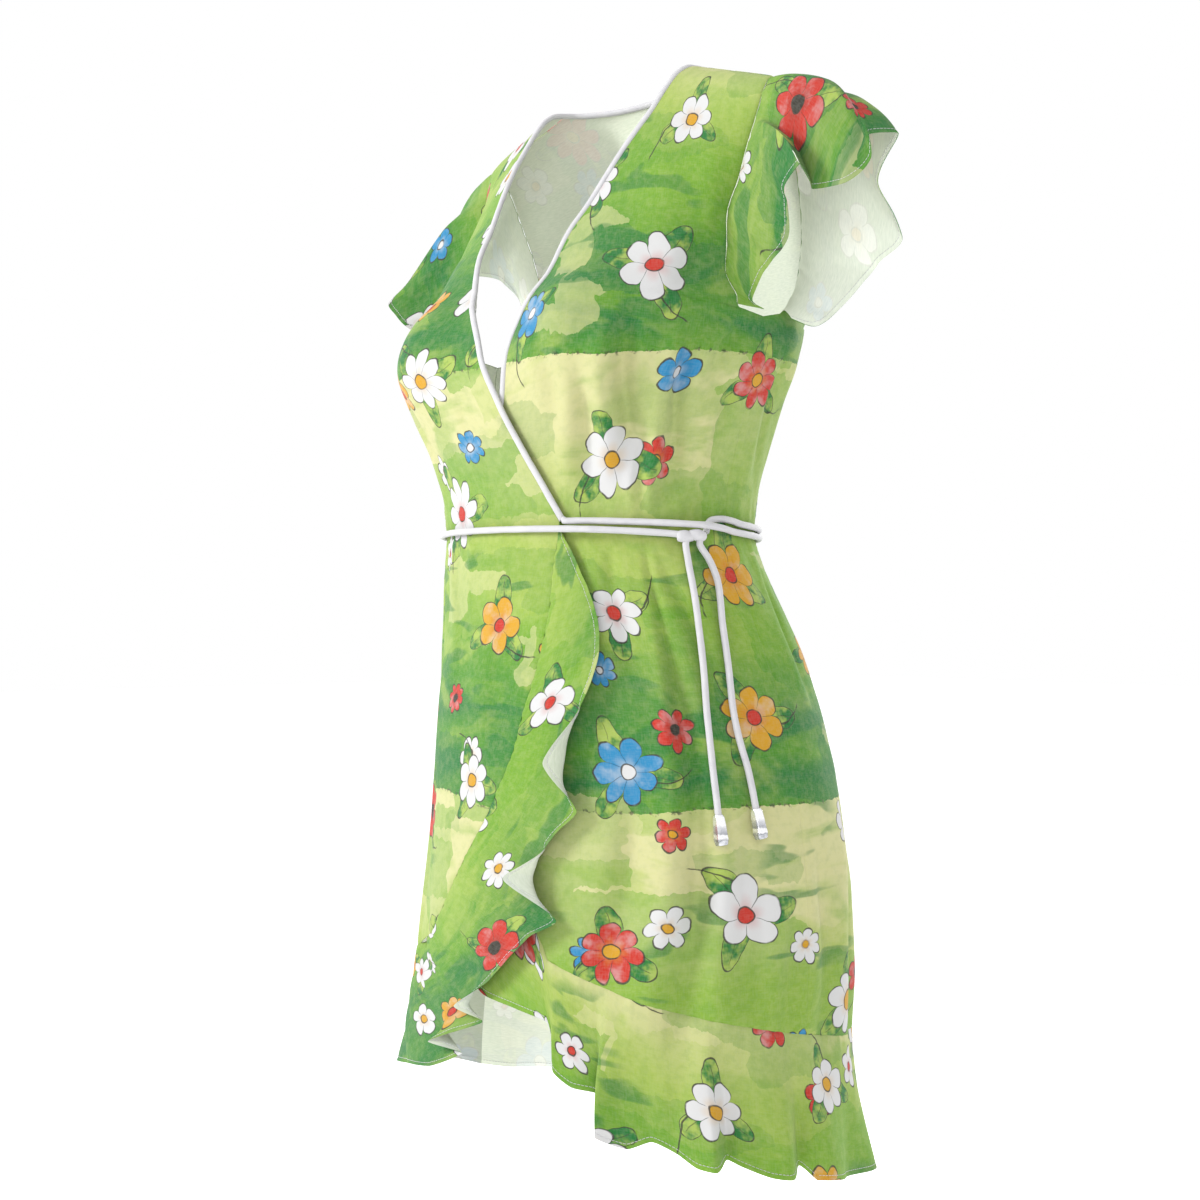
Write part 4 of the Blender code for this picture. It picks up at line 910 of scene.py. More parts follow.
@dataclass(frozen=True)
class GardenPrint:
    """Watercolour washes with scattered garden flowers, drawn in the cloth's own flat metres."""

    repeat: float = 0.335
    large_cell: float = 0.112
    small_cell: float = 0.06
    cream: Colour = shade(240, 238, 172)
    lime: Colour = shade(188, 214, 98)
    leaf: Colour = shade(138, 192, 50)
    grass: Colour = shade(94, 166, 40)
    deep: Colour = shade(38, 136, 58)
    pencil: Colour = shade(62, 58, 48)
    white: Colour = shade(250, 250, 250)
    red: Colour = shade(226, 58, 42)
    gold: Colour = shade(240, 180, 36)
    sky: Colour = shade(52, 158, 214)

    def washes(self, bench: Bench, place: Field) -> Field:
        """The ground: soft bands of green and cream with brush marks.

        Args:
            bench: where nodes go.
            place: flat metres.

        Returns:
            The colour.
        """
        u, v = bench.parts(place)
        broad = bench.noise(bench.vector(u * 0.55, v), 7.0, 2.0)
        ragged = bench.noise(bench.vector(u, v * 0.5), 120.0, 3.0, 0.6)
        gentle = bench.noise(bench.vector(u, 0.3), 5.0, 1.0)
        band = (v / self.repeat + (gentle - 0.5) * 0.09 + (ragged - 0.5) * 0.014).part()
        away = band * (band * -1.0 + 1.0) * 4.0
        tone = band + (broad - 0.5) * away * 0.62
        colour = tone.ramp(((0.0, self.grass), (0.07, self.deep), (0.13, self.grass), (0.21, self.deep),
                            (0.3, self.grass), (0.46, self.leaf), (0.62, self.lime), (0.78, self.cream),
                            (1.0, self.cream)))
        cloud = bench.noise(bench.vector(u * 0.45, v, 3.0), 17.0, 4.0, 0.55, 0.5)
        colour = (cloud.step(0.53, 0.62) * 0.5).over(colour, self.lime)
        colour = (cloud.step(0.47, 0.38) * 0.45).over(colour, self.leaf)
        swirl = bench.noise(bench.vector(u, v, 23.0), 46.0, 2.0)
        wide, tall = (swirl - 0.5) * 0.03, (ragged - 0.5) * 0.01 + (swirl - 0.5) * 0.012
        block, other = bench.blocks(bench.vector((u + wide) * 0.42, v + tall, 1.0), 23.0)
        large, _ = bench.blocks(bench.vector((u + wide) * 0.5, v + tall, 2.0), 11.5)
        colour = (large.step(0.64, 0.67) * band.step(0.25, 0.4) * 0.6).over(colour, self.leaf)
        colour = (large.step(0.24, 0.21) * band.step(0.16, 0.34) * 0.34).over(colour, self.lime)
        colour = (block.step(0.78, 0.81) * 0.3).over(colour, self.grass)
        colour = (other.step(0.8, 0.82) * band.step(0.5, 0.2) * 0.5).over(colour, self.deep)
        colour = (other.step(0.085, 0.07) * 0.46).over(colour, self.cream)
        stroke = bench.noise(bench.vector(u * 0.28, v, 7.0), 42.0, 2.0, 0.5, 0.4)
        patch = (bench.noise(bench.vector(u, v, 1.0), 8.0, 1.0) - band * 0.22).step(0.36, 0.44)
        colour = (stroke.step(0.55, 0.6) * patch * 0.62).over(colour, self.deep)
        colour = ((stroke - 0.575).away().step(0.018, 0.0) * patch * 0.12).over(colour, self.deep)
        marks = bench.noise(bench.vector(u, v, 9.0), 260.0, 2.0).step(0.52, 0.66)
        edge = (band * -1.0 + 1.0).math("MINIMUM", band).step(0.0085, 0.0012)
        colour = (edge * marks * 0.75).over(colour, self.pencil)
        bloom = bench.noise(bench.vector(u, v, 5.0), 130.0, 4.0, 0.65)
        colour = (bloom.step(0.44, 0.66) * 0.1).over(colour, self.cream)
        return (bloom.step(0.54, 0.36) * 0.09).over(colour, self.deep)

    def flowers(self, bench: Bench, place: Field, ground: Field, cell: float, seed: float, share: float,
                leafy: bool) -> Field:
        """One scatter of flowers over a ground.

        Args:
            bench: where nodes go.
            place: flat metres.
            ground: the colour beneath.
            cell: how far apart the flowers stand.
            seed: which scatter.
            share: how many of the places have a flower, from 0 to 1.
            leafy: whether leaves and a stem grow from each.

        Returns:
            The colour with the flowers on it.
        """
        u, v = bench.parts(place)
        straight, slant = 0.94 / cell, 0.34 / cell
        u, v = u * straight + v * slant + seed, v * straight - u * slant + seed * 0.7
        line = v.whole()
        u = u + (line * 0.5).part()
        column = u.whole()
        dice = bench.node("TexWhiteNoise", "Color", Vector=bench.vector(column, line, seed))
        more = bench.node("TexWhiteNoise", "Color", Vector=bench.vector(line, seed + 3.1, column))
        first, second = bench.parts(dice)
        third, fourth = bench.parts(more)
        scatter, unsteady = 0.26, cell * 0.16
        x = (u - column - 0.5 - (first - 0.5) * scatter) * cell
        y = (v - line - 0.5 - (second - 0.5) * scatter) * cell
        x = x + (bench.noise(bench.vector(u, v, 21.0), 2.6, 3.0) - 0.5) * unsteady
        y = y + (bench.noise(bench.vector(u, v, 31.0), 2.6, 3.0) - 0.5) * unsteady
        r = (x * x + y * y).math("SQRT")
        turn = y.math("ARCTAN2", x) + third * 6.283
        size = (fourth * 0.3 + 0.62) * (cell * (0.27 if leafy else 0.34))
        here = (third * 7.31).part().math("LESS_THAN", share)
        petals = (first * 3.2).whole() + 5.0
        half = turn * petals * 0.5
        lobe = half.math("COSINE").away()
        reach = size * (lobe.math("POWER", 0.55) * 0.46 + 0.54)
        kind = (fourth * 5.77).part()
        petal = kind.ramp(((0.0, self.white), (0.26, self.red), (0.46, self.sky), (0.62, self.white),
                           (0.8, self.gold), (0.92, self.red)), constant=True)
        heart = kind.ramp(((0.0, self.gold), (0.26, self.pencil), (0.46, self.white), (0.62, self.red),
                           (0.8, self.red), (0.92, self.gold)), constant=True)
        pale = bench.noise(place, 60.0, 3.0, 0.6)
        petal = (pale.step(0.46, 0.7) * 0.34).over(petal, self.white)
        petal = ((r / reach).step(0.62, 0.16) * 0.34).over(petal, heart)
        inked = (bench.noise(place, 110.0, 2.0).step(0.3, 0.5) * 0.55 + 0.35) * here
        colour = ground
        if leafy:
            blades = (turn * 1.5 + 0.9).math("COSINE").away().math("POWER", 5.0)
            tip = size * (blades * 1.02 + 0.42) * 1.1
            green = pale.step(0.4, 0.62).over(self.deep, self.lime)
            colour = ((tip - r).step(-0.0002, 0.0004) * here).over(colour, green)
            colour = ((tip - r).away().step(0.0008, 0.0003) * inked).over(colour, self.pencil)
            rib = (turn * 1.5 + 0.9).math("SINE").away() * r
            rib = rib.step(0.0007, 0.0002) * (tip - r).step(0.003, 0.006) * inked * 0.7
            colour = rib.over(colour, self.pencil)
            stem = (turn * 0.5 + 2.2 - r * 9.0).math("COSINE").away() * r * 2.0
            stem = stem.step(0.001, 0.0004) * r.step(cell * 0.45, cell * 0.42) * inked
            colour = stem.over(colour, self.pencil)
        colour = ((reach - r).step(-0.0002, 0.0004) * here).over(colour, petal)
        notch = half.math("COSINE").away() * r
        notch = notch.step(0.0011, 0.0005) * (reach - r).step(0.0, 0.001) * r.step(0.006, 0.0084) * inked
        colour = (notch * 0.75).over(colour, self.pencil)
        colour = ((reach - r).away().step(0.0009, 0.0004) * inked).over(colour, self.pencil)
        middle = size * 0.24
        colour = ((middle - r).step(-0.0002, 0.0003) * here).over(colour, heart)
        return ((middle - r).away().step(0.0008, 0.0003) * inked).over(colour, self.pencil)

    def group(self) -> bpy.types.NodeTree:
        """The print as a node group, made once.

        Returns:
            The group, with the colour as its output.
        """
        made = bpy.data.node_groups.get("garden print")
        if made:
            return made
        tree = bpy.data.node_groups.new("garden print", "ShaderNodeTree")
        tree.interface.new_socket("Vector", in_out="INPUT", socket_type="NodeSocketVector")
        tree.interface.new_socket("Color", in_out="OUTPUT", socket_type="NodeSocketColor")
        bench = Bench(tree)
        place = Field(tree, tree.nodes.new("NodeGroupInput").outputs[0])
        colour = self.washes(bench, place)
        colour = self.flowers(bench, place, colour, self.small_cell, 2.3, 0.3, False)
        colour = self.flowers(bench, place, colour, self.large_cell, 5.9, 0.86, True)
        tree.links.new(colour.socket, tree.nodes.new("NodeGroupOutput").inputs[0])
        return tree


def new_material(name: str) -> tuple[Material, Bench, bpy.types.Node]:
    """An empty material.

    Args:
        name: its name.

    Returns:
        The material, its bench and its shader.
    """
    material = bpy.data.materials.new(name)
    material.use_nodes = True
    return material, Bench(material.node_tree), material.node_tree.nodes["Principled BSDF"]


@dataclass(frozen=True)
class PrintedCloth:
    """Matt woven viscose, printed on its outer face; the inner face shows the print faintly, painted lighter
    inside the dress than where a flounce turns it out, as painted light.
    """

    face: Face
    thread: float = 0.00055
    roughness: float = 0.82
    bleach: float = 0.76
    # painted light: how light the unprinted face is painted inside the dress, and where a flounce turns it
    # out
    inner_painted_light: float = 0.95
    turned_painted_light: float = 0.53
    pattern: GardenPrint = field(default_factory=GardenPrint)

    def material(self) -> Material:
        """Makes the material, or finds it made.

        Returns:
            The material.
        """
        name = f"printed cloth {self.face.value}"
        if name in bpy.data.materials:
            return bpy.data.materials[name]
        material, bench, shader = new_material(name)
        place = bench.node("UVMap")
        group = material.node_tree.nodes.new("ShaderNodeGroup")
        group.node_tree = self.pattern.group()
        material.node_tree.links.new(place.socket, group.inputs[0])
        colour = Field(material.node_tree, group.outputs[0])
        u, v = bench.parts(place)
        slub = bench.noise(bench.vector(u * 0.2, v), 900.0, 2.0)
        thick = bench.noise(bench.vector(u, v * 0.2), 900.0, 2.0)
        # the unprinted face, painted lighter or darker by where it lies, as painted light and shade
        if self.face is not Face.OUTER:
            light = self.inner_painted_light if self.face is Face.INNER else self.turned_painted_light
            pale = slub.ramp(((0.3, (0.79 * light, 0.82 * light, 0.73 * light)),
                              (0.7, (0.89 * light, 0.91 * light, 0.81 * light))))
            colour = (slub * 0.1 + (self.bleach - 0.05)).over(colour, pale)
        grain = (slub + thick) * 0.5
        colour = (grain.step(0.35, 0.65) * 0.07).over(colour, shade(250, 250, 240))
        wave = TURN / self.thread
        weft, warp = (v * wave).math("SINE"), (u * wave).math("SINE")
        relief = weft * warp * 0.5 + grain * 1.6
        bump = bench.node("Bump", Height=relief, Strength=0.35, Distance=0.00012)
        link_inputs(shader, colour, bump, grain * 0.1 + (self.roughness - 0.05))
        set_inputs(shader, Sheen_Weight=0.05, Sheen_Roughness=0.6, Specular_IOR_Level=0.15)
        return material


@dataclass(frozen=True)
class WhiteCloth:
    """White woven binding, cord and thread."""

    name: str
    rib: float = 0.0009
    slant: float = 0.0
    low: Colour = shade(238, 237, 243)
    high: Colour = shade(254, 253, 255)

    def material(self) -> Material:
        """Makes the material, or finds it made.

        Returns:
            The material.
        """
        if self.name in bpy.data.materials:
            return bpy.data.materials[self.name]
        material, bench, shader = new_material(self.name)
        place = bench.node("UVMap")
        u, v = bench.parts(place)
        fuzz = bench.noise(place, 1500.0, 3.0)
        soft = bench.noise(place, 120.0, 2.0)
        wave = TURN / self.rib
        one = ((u + v * self.slant) * wave).math("SINE")
        other = ((u - v * self.slant + v * 0.3) * wave).math("SINE")
        relief = one.math("MAXIMUM", other) * 0.6 + fuzz
        colour = (soft * 0.6 + fuzz * 0.4).ramp(((0.3, self.low), (0.65, self.high)))
        bump = bench.node("Bump", Height=relief, Strength=0.3, Distance=0.00018)
        link_inputs(shader, colour, bump, fuzz * 0.12 + 0.66)
        set_inputs(shader, Sheen_Weight=0.15, Specular_IOR_Level=0.3)
        return material


@dataclass(frozen=True)
class SilveredMetal:
    """Bright plated metal with fine marks of handling, and painted highlights and shade down its length."""

    name: str = "silvered metal"
    # the bright metal colour, which also serves as the painted highlight; then painted shade for the lower
    # facets, and painted deep shade for the step above the band and for the foot
    colour: Colour = (0.9, 0.9, 0.92)
    shadow: Colour = (0.6, 0.61, 0.64)
    painted_deep_shade: Colour = (0.36, 0.37, 0.4)
    length: float = 0.022

    def material(self) -> Material:
        """Makes the material, or finds it made.

        Returns:
            The material.
        """
        if self.name in bpy.data.materials:
            return bpy.data.materials[self.name]
        material, bench, shader = new_material(self.name)
        place = bench.node("TexCoord", "Object")
        u, v = bench.parts(bench.node("UVMap"))
        cloud = bench.noise(place, 240.0, 3.0)
        marks = bench.noise(place, 2600.0, 2.0)
        # painted light and shade down the tip: a bright upper part with a slanting glint, grey lower facets,
        # a bright band at the raised ring and a dark foot; the variable worn below holds this painted shading
        down = u / self.length + (v * 300.0).math("SINE") * 0.1 + (cloud - 0.5) * 0.16
        worn = down.ramp(((0.0, self.shadow), (0.14, self.colour), (0.4, self.colour), (0.5, self.shadow),
                          (0.7, self.painted_deep_shade), (0.745, self.colour), (0.84, self.colour), (0.88, self.painted_deep_shade),
                          (1.0, self.painted_deep_shade)))
        colour = (cloud.step(0.4, 0.65) * 0.35).over(worn, self.colour)
        bump = bench.node("Bump", Height=marks, Strength=0.1, Distance=0.00004)
        link_inputs(shader, colour, bump, cloud * 0.12 + marks * 0.05 + 0.14)
        set_inputs(shader, Metallic=0.8)
        return material


# ---- cloth
# how far cloth rolls in at a side seam, and at a hem seam or an edge
SIDE_DIP = 0.0007
HEM_DIP = 0.0006
# how far from the armhole the creases fade in, and from the side seam the print is matched
ARMHOLE_REACH = 0.02
MATCHED_REACH = 0.14


def hem_groove(rest: Array) -> Array:
    """How far the stitches pull the cloth in, at a distance from the free edge."""
    return -0.00035 * bell(rest - 0.0036, 0.0009)


@dataclass
class ClothGrid:
    """A sheet of cloth as rows of points that run down and columns that run to the left."""

    points: Array
    flat: Array
    thickness: float = 0.0006
    under: Face = Face.INNER

    def ways_out(self) -> Array:
        """The way out of the cloth at each point.

        Returns:
            Directions, 1 long, in the shape of the grid.
        """
        p = self.points
        facets = unit(np.cross(p[:-1, 1:] - p[1:, :-1], p[1:, 1:] - p[:-1, :-1]))
        total = np.zeros_like(p)
        rows, columns = p.shape[0] - 1, p.shape[1] - 1
        for down, left in ((0, 0), (0, 1), (1, 0), (1, 1)):
            total[down:down + rows, left:left + columns] += facets
        return unit(total)

    def shell(self, name: str) -> Piece:
        """Builds the thin closed shell, the print outside and the pale face inside.

        Args:
            name: the piece's name.

        Returns:
            The new object.
        """
        out = self.ways_out() * (self.thickness / 2)
        high, wide = self.points.shape[:2]
        vertices = np.concatenate(((self.points + out).reshape(-1, 3), (self.points - out).reshape(-1, 3)))
        index = np.arange(high * wide).reshape(high, wide)
        corners = (index[:-1, :-1], index[:-1, 1:], index[1:, 1:], index[1:, :-1])
        a, b, c, d = (corner.ravel() for corner in corners)
        under = high * wide
        outer = np.stack((a, b, c, d), axis=1)
        inner = np.stack((c, b, a, d), axis=1) + under
        rim = np.concatenate((index[0, :], index[1:, -1], index[-1, -2::-1], index[-2:0:-1, 0]))
        after = np.roll(rim, -1)
        edge = np.stack((after, rim, rim + under, after + under), axis=1)
        faces = np.concatenate((outer, inner, edge))
        slots = np.repeat((0, 1, 0), (len(outer), len(inner), len(edge)))
        flat = np.tile(self.flat.reshape(-1, 2), (2, 1))
        finishes = [PrintedCloth(Face.OUTER).material(), PrintedCloth(self.under).material()]
        return new_piece(name, vertices, faces, flat, finishes, slots)

    def garment(self, node: str) -> Piece:
        """Builds the piece of the dress that stands for a solid.

        Args:
            node: the solid's name.

        Returns:
            The piece.
        """
        piece = self.shell(f"cloth_{node}")
        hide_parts(node)
        LOG.info("%s: %d x %d", piece.name, *self.points.shape[:2])
        return piece

    def hem_line(self, inset: float, face: int) -> tuple[Array, Array]:
        """A line in the cloth beside the free edge, which is its last row.

        Args:
            inset: how far in from the edge.
            face: 1 on the outer face, -1 on the inner.

        Returns:
            Its points and the ways out there.
        """
        out = self.ways_out()
        line, ways = [], []
        for column in range(self.points.shape[1]):
            edge = self.points[::-1, column]
            run = run_length(edge)
            share = np.array([min(inset, run[-1])])
            line.append(reading(run, edge, share)[0])
            ways.append(unit(reading(run, out[::-1, column], share)[0]))
        ways = np.array(ways) * face
        return np.array(line) + ways * (self.thickness / 2), ways


def new_piece(name: str, vertices: Array, faces: Array, flat: Array, finishes: list[Material],
              slots: Optional[Array] = None) -> Piece:
    """Makes a mesh object that rides on the dress.

    Args:
        name: its name.
        vertices: its corners.
        faces: its faces, as corner numbers.
        flat: a flat place for each corner, in metres.
        finishes: its materials.
        slots: which material each face has.

    Returns:
        The object.
    """
    mesh = bpy.data.meshes.new(name)
    lists = faces.tolist() if isinstance(faces, np.ndarray) else faces
    mesh.from_pydata(vertices.tolist(), [], lists)
    for finish in finishes:
        mesh.materials.append(finish)
    if slots is not None:
        mesh.polygons.foreach_set("material_index", slots.astype(np.int32))
    corners = np.zeros(len(mesh.loops), dtype=np.int32)
    mesh.loops.foreach_get("vertex_index", corners)
    layer = mesh.uv_layers.new(name="UVMap")
    layer.data.foreach_set("uv", flat[corners].astype(np.float32).ravel())
    mesh.shade_smooth()
    mesh.set_sharp_from_angle(angle=math.radians(52))
    piece = bpy.data.objects.new(name, mesh)
    bpy.context.collection.objects.link(piece)
    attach(piece, "root")
    return piece


def near_edges(count: int, length: float, first: bool, last: bool) -> Array:
    """Shares of a length, evenly spaced, with more of them near its ends.

    Args:
        count: how many even steps.
        length: the length in metres.
        first: whether the start gets more.
        last: whether the end gets more.

    Returns:
        The shares from 0 to 1.
    """
    close, band = np.array((0.0006, 0.0013, 0.0021, 0.0031, 0.0043)) / length, 0.0058 / length
    shares = list(np.linspace(0.0, 1.0, count + 1))
    shares = [s for s in shares if not (first and 0 < s < band)]
    shares = [s for s in shares if not (last and 1 - band < s < 1)]
    shares += list(close) if first else []
    shares += list(1 - close) if last else []
    return np.array(sorted(shares))


def seam_dip(distance: Array, depth: float = SIDE_DIP) -> Array:
    """How far cloth rolls in towards a seam that lies at a distance."""
    return -depth * np.exp(-np.maximum(distance, 0.0) / 0.0012)


def shoulder_rows() -> Array:
    """Rows from the shoulder to the underarm, closest at the shoulder."""
    return np.linspace(0.0, 1.0, 84) ** 1.7


@dataclass
class FrontPanel:
    """A front from the shoulder to the flounce, the right one lying over the left."""

    side: Side
    form: DressForm
    cut: FlatCut
    drape: Drape
    columns: int = 104
    print_shift: tuple[float, float] = (0.0, 0.0)

    def rows(self) -> Array:
        """The rows down the panel."""
        bodice = np.linspace(1.0, 2.0, 56)[1:]
        skirt = 2 + near_edges(112, 0.345, False, True)[1:]
        return np.concatenate((shoulder_rows(), bodice, skirt))

    def grid(self) -> ClothGrid:
        """Lays the cloth over the form.

        Returns:
            The grid of cloth.
        """
        across = near_edges(self.columns, 0.3, True, True)[None, :]
        row = self.rows()[:, None]
        angle, level = self.form.front_place(self.side, across, row)
        edge = grid_run(self.form.bare(angle, level), 1)
        side = edge[:, -1:] - edge
        hem = np.abs(level - self.form.hem_seam(np.abs(angle))[..., 0])
        free = ease(edge, 0.0, 0.016) + (row > 2) * 1.0
        armhole = np.where(row < 1.04, ease(side, 0.0, ARMHOLE_REACH), 1.0)
        height = self.drape.height(angle, level) * np.clip(free, 0, 1) * armhole * ease(-level, 0.004, 0.05)
        covered = ease(-level, 0.22, 0.25) * ease(-angle if self.side is Side.LEFT else angle + 60, -30, -14)
        if self.side is Side.LEFT:
            height = mix(height, np.minimum(height, 0.0004), covered)
        else:
            height = mix(height, np.maximum(height, -0.001), covered)
        height = height + seam_dip(side) + seam_dip(hem, HEM_DIP)
        height = height + seam_dip(np.where(row > 2, edge, 1.0), HEM_DIP)
        height = height + seam_dip(np.where(row < 0.3, -level * 3, 1.0), HEM_DIP)
        lift = self.form.top_layer(angle, level) if self.side is Side.RIGHT else 0.0
        points = self.form.at(angle, level, height + lift)
        flat = self.cut.place(angle, level, self.side * 58.0, self.side * 90.0)
        kept = ease(side, 0.0, MATCHED_REACH)[..., None]
        flat = mix(flat, self.cut.relaxed(points, flat), kept) + np.array(self.print_shift)
        if self.side is Side.LEFT:
            points, flat = points[:, ::-1], flat[:, ::-1]
        return ClothGrid(points, flat)

    def build(self) -> ClothGrid:
        """Builds the panel, and hides the imported solid that it stands for.

        Returns:
            Its grid.
        """
        grid = self.grid()
        piece = grid.garment(f"front_{self.side.word}")
        return grid


@dataclass
class BackPanel:
    """The back, in one piece from the shoulders to the flounce."""

    form: DressForm
    cut: FlatCut
    drape: Drape
    columns: int = 150
    print_shift: tuple[float, float] = (1.45, 0.0)

    def build(self) -> ClothGrid:
        """Builds the panel, and hides the imported solid that it stands for.

        Returns:
            Its grid.
        """
        across = near_edges(self.columns, 0.47, True, True)[None, ::-1]
        bodice, skirt = np.linspace(1.0, 2.0, 52)[1:], 2 + near_edges(114, 0.39, False, True)[1:]
        row = np.concatenate((shoulder_rows(), bodice, skirt))[:, None]
        angle, level = self.form.back_place(across, row)
        run = grid_run(self.form.bare(angle, level), 1)
        side = np.minimum(run, run[:, -1:] - run)
        neck = np.where(row < 1, self.form.back_place(across, 0.0)[1] - level, 1.0)
        armhole = np.where(row < 1.04, ease(side, 0.0, ARMHOLE_REACH), 1.0)
        height = self.drape.height(angle, level) * armhole * ease(neck, 0.002, 0.03)
        hem = np.abs(level - self.form.hem_seam(180 - np.abs(angle - 180))[..., 0])
        height = height + seam_dip(side) + seam_dip(hem, HEM_DIP)
        points = self.form.at(angle, level, height)
        flat = self.cut.place(angle, level, 180.0, 90.0)
        kept = ease(run[:, -1:] - run, 0.0, MATCHED_REACH)[..., None]
        flat = mix(flat, self.cut.relaxed(points, flat), kept) + np.array(self.print_shift)
        grid = ClothGrid(points, flat)
        grid.garment("back")
        return grid


# ---- flounces and sleeves
# the thickness of their one layer of cloth
FLOUNCE_CLOTH = 0.0005


@dataclass
class FrontFlounce:
    """The flounce that runs down a wrap edge and on along the hem to the side seam."""

    side: Side
    form: DressForm
    drape: Drape
    columns: int = 430
    edge_share: float = 0.58
    print_shift: tuple[float, float] = (0.0, 0.0)

    def seam_place(self, along: Array) -> tuple[Array, Array]:
        """Angle and level on the seam.

        Args:
            along: 0 at the waist and 1 at the side seam.

        Returns:
            The angles and levels.
        """
        edge = self.form.front_place(self.side, 0.0, 2 + np.clip(along / self.edge_share, 0, 1))
        share = np.clip((along - self.edge_share) / (1 - self.edge_share), 0, 1)
        hem = self.form.front_place(self.side, share, 3.0)
        down = along < self.edge_share
        return np.where(down, edge[0], hem[0]), np.where(down, edge[1], hem[1])

    def points(self, along: Array, down: Array) -> Array:
        """Points of the flounce.

        Args:
            along: shares of the seam, in a row.
            down: -1 at the seam, 0 at the bend and 1 at the free edge, in a column.

        Returns:
            The grid of points.
        """
        rows = RIGHT_RUFFLE if self.side is Side.RIGHT else LEFT_RUFFLE
        straight = np.array(rows)
        soft = softened(reading(straight[:, 0], straight[:, 1:], along[0]), 2)
        table = mix(Curve(rows)(along)[0], soft, 0.6)
        angle, level = self.seam_place(along[0])
        top = self.form.top_layer(angle, level) if self.side is Side.RIGHT else np.zeros_like(angle)
        start = np.stack((angle, level, top), axis=-1)
        bend, end = table[:, :3], table[:, 3:]
        scale = np.array((0.0026, 1.0, 1.0))
        first, second = (bend - start) * scale, (start - 2 * bend + end) * scale
        size = np.sum(second * second, axis=1)
        turn = np.clip(-np.sum(first * second, axis=1) / np.maximum(size, 1e-9), 0.35, 0.65)
        turn = mix(0.5, turn, np.minimum(size / 0.03 ** 2, 1.0))[None, :]
        share = (turn + np.where(down < 0, down * turn, down * (1 - turn)))[..., None]
        place = start * (1 - share) ** 2 + bend * 2 * share * (1 - share) + end * share ** 2
        bare = self.form.at(*np.moveaxis(place, -1, 0))
        hang = grid_run(bare, 0)
        seam_run = run_length(bare[0])
        ripple = 0.0005 * wobble(seam_run, 0.013, 11 + self.side)[None, :] * np.exp(-hang / 0.016)
        fold = self.drape.height(angle, level)[None, :] * np.exp(-hang / 0.05)
        if self.side is Side.LEFT:
            fold = np.where(along < 0.47, np.minimum(fold, 0.0), fold)
        slanted = seam_run[None, :] + 0.3 * hang
        long_wave = 0.001 * wobble(slanted, 0.03, 17 + self.side) * ease(hang, 0.006, 0.04)
        height = ripple + fold + long_wave * 0.8 + hem_groove(hang[-1:] - hang) + seam_dip(hang, HEM_DIP)
        place = place + height[..., None] * np.array((0.0, 0.0, 1.0))
        return self.form.at(*np.moveaxis(place, -1, 0))

    def build(self) -> ClothGrid:
        """Builds the flounce, and hides the imported solid that it stands for.

        Returns:
            Its grid.
        """
        along = np.linspace(0.0, 1.0, self.columns)[None, :]
        half = near_edges(16, 0.03, True, False) - 1
        down = np.concatenate((half, 1 - near_edges(20, 0.04, True, False)[::-1]))
        down = np.unique(np.round(down, 6))[:, None]
        points = self.points(along, down)
        hang = grid_run(points, 0)
        middle = (run_length(points[len(down) // 2]) + run_length(points[0])) / 2
        flat = np.stack((np.broadcast_to(middle[None, :], hang.shape), -hang), axis=-1)
        flat = flat + np.array(self.print_shift)
        if self.side is Side.LEFT:
            points, flat = points[:, ::-1], flat[:, ::-1]
        grid = ClothGrid(points, flat, FLOUNCE_CLOTH, Face.TURNED)
        grid.garment(f"flounce_{self.side.word}")
        return grid


@dataclass
class BackFlounce:
    """The flounce round the back of the hem."""

    form: DressForm
    drape: Drape
    waves: int = 7
    depth: float = 0.103
    wave_out: float = 0.006
    wave_height: float = 0.008
    columns: int = 260
    print_shift: tuple[float, float] = (0.0, 0.0)
    sewn_to: tuple[Array, ...] = ()

    def sewn(self, points: Array) -> Array:
        """Brings both ends onto the side edges of the front flounces.

        Args:
            points: the grid of points.

        Returns:
            The grid, changed near its ends alone.
        """
        moved = points.copy()
        for column, edge in zip((0, -1), self.sewn_to):
            length, own = run_length(edge), run_length(points[:, column])
            target = reading(length / length[-1], edge, own / own[-1])
            away = np.linalg.norm(points - points[:, [column]], axis=2, keepdims=True)
            moved += bell(away, 0.03) * (target - points[:, column])[:, None]
        return moved

    def build(self) -> ClothGrid:
        """Builds the flounce, and hides the imported solid that it stands for.

        Returns:
            Its grid.
        """
        across = np.linspace(1.0, 0.0, self.columns)[None, :]
        down = near_edges(36, self.depth, True, True)[:, None]
        turn = 2 * across - 1
        angle = 180 + turn * (90 - self.form.gap_angle(SIDE_HEM))
        start = self.form.hem_seam(180 - np.abs(angle - 180))[..., 0]
        wave = np.sin(2 * np.pi * self.waves * across + 0.6 * np.sin(3 * np.pi * across))
        pull = (4 * across * (1 - across)) ** 0.35
        out = mix(self.wave_out, self.wave_out + self.wave_height * wave, pull)
        hang = self.depth * down
        run = across * 0.52
        height = self.drape.height(angle, start) * np.exp(-hang / 0.05)
        height = height + 0.0005 * wobble(run, 0.013, 23) * np.exp(-hang / 0.016) + seam_dip(hang, HEM_DIP)
        height = height + 0.0007 * wobble(run + 0.3 * hang, 0.036, 29) * ease(hang, 0.01, 0.05)
        height = height + hem_groove(self.depth - hang)
        angle = np.broadcast_to(angle, height.shape)
        points = self.sewn(self.form.at(angle, start - hang, out * down ** 1.4 + height))
        middle = run_length(points[len(down) // 2])
        across_cloth = np.broadcast_to(middle[-1] - middle, height.shape)
        flat = np.stack((across_cloth, np.broadcast_to(-hang, height.shape)), axis=-1)
        grid = ClothGrid(points, flat + np.array(self.print_shift), FLOUNCE_CLOTH)
        grid.garment("flounce_back")
        return grid


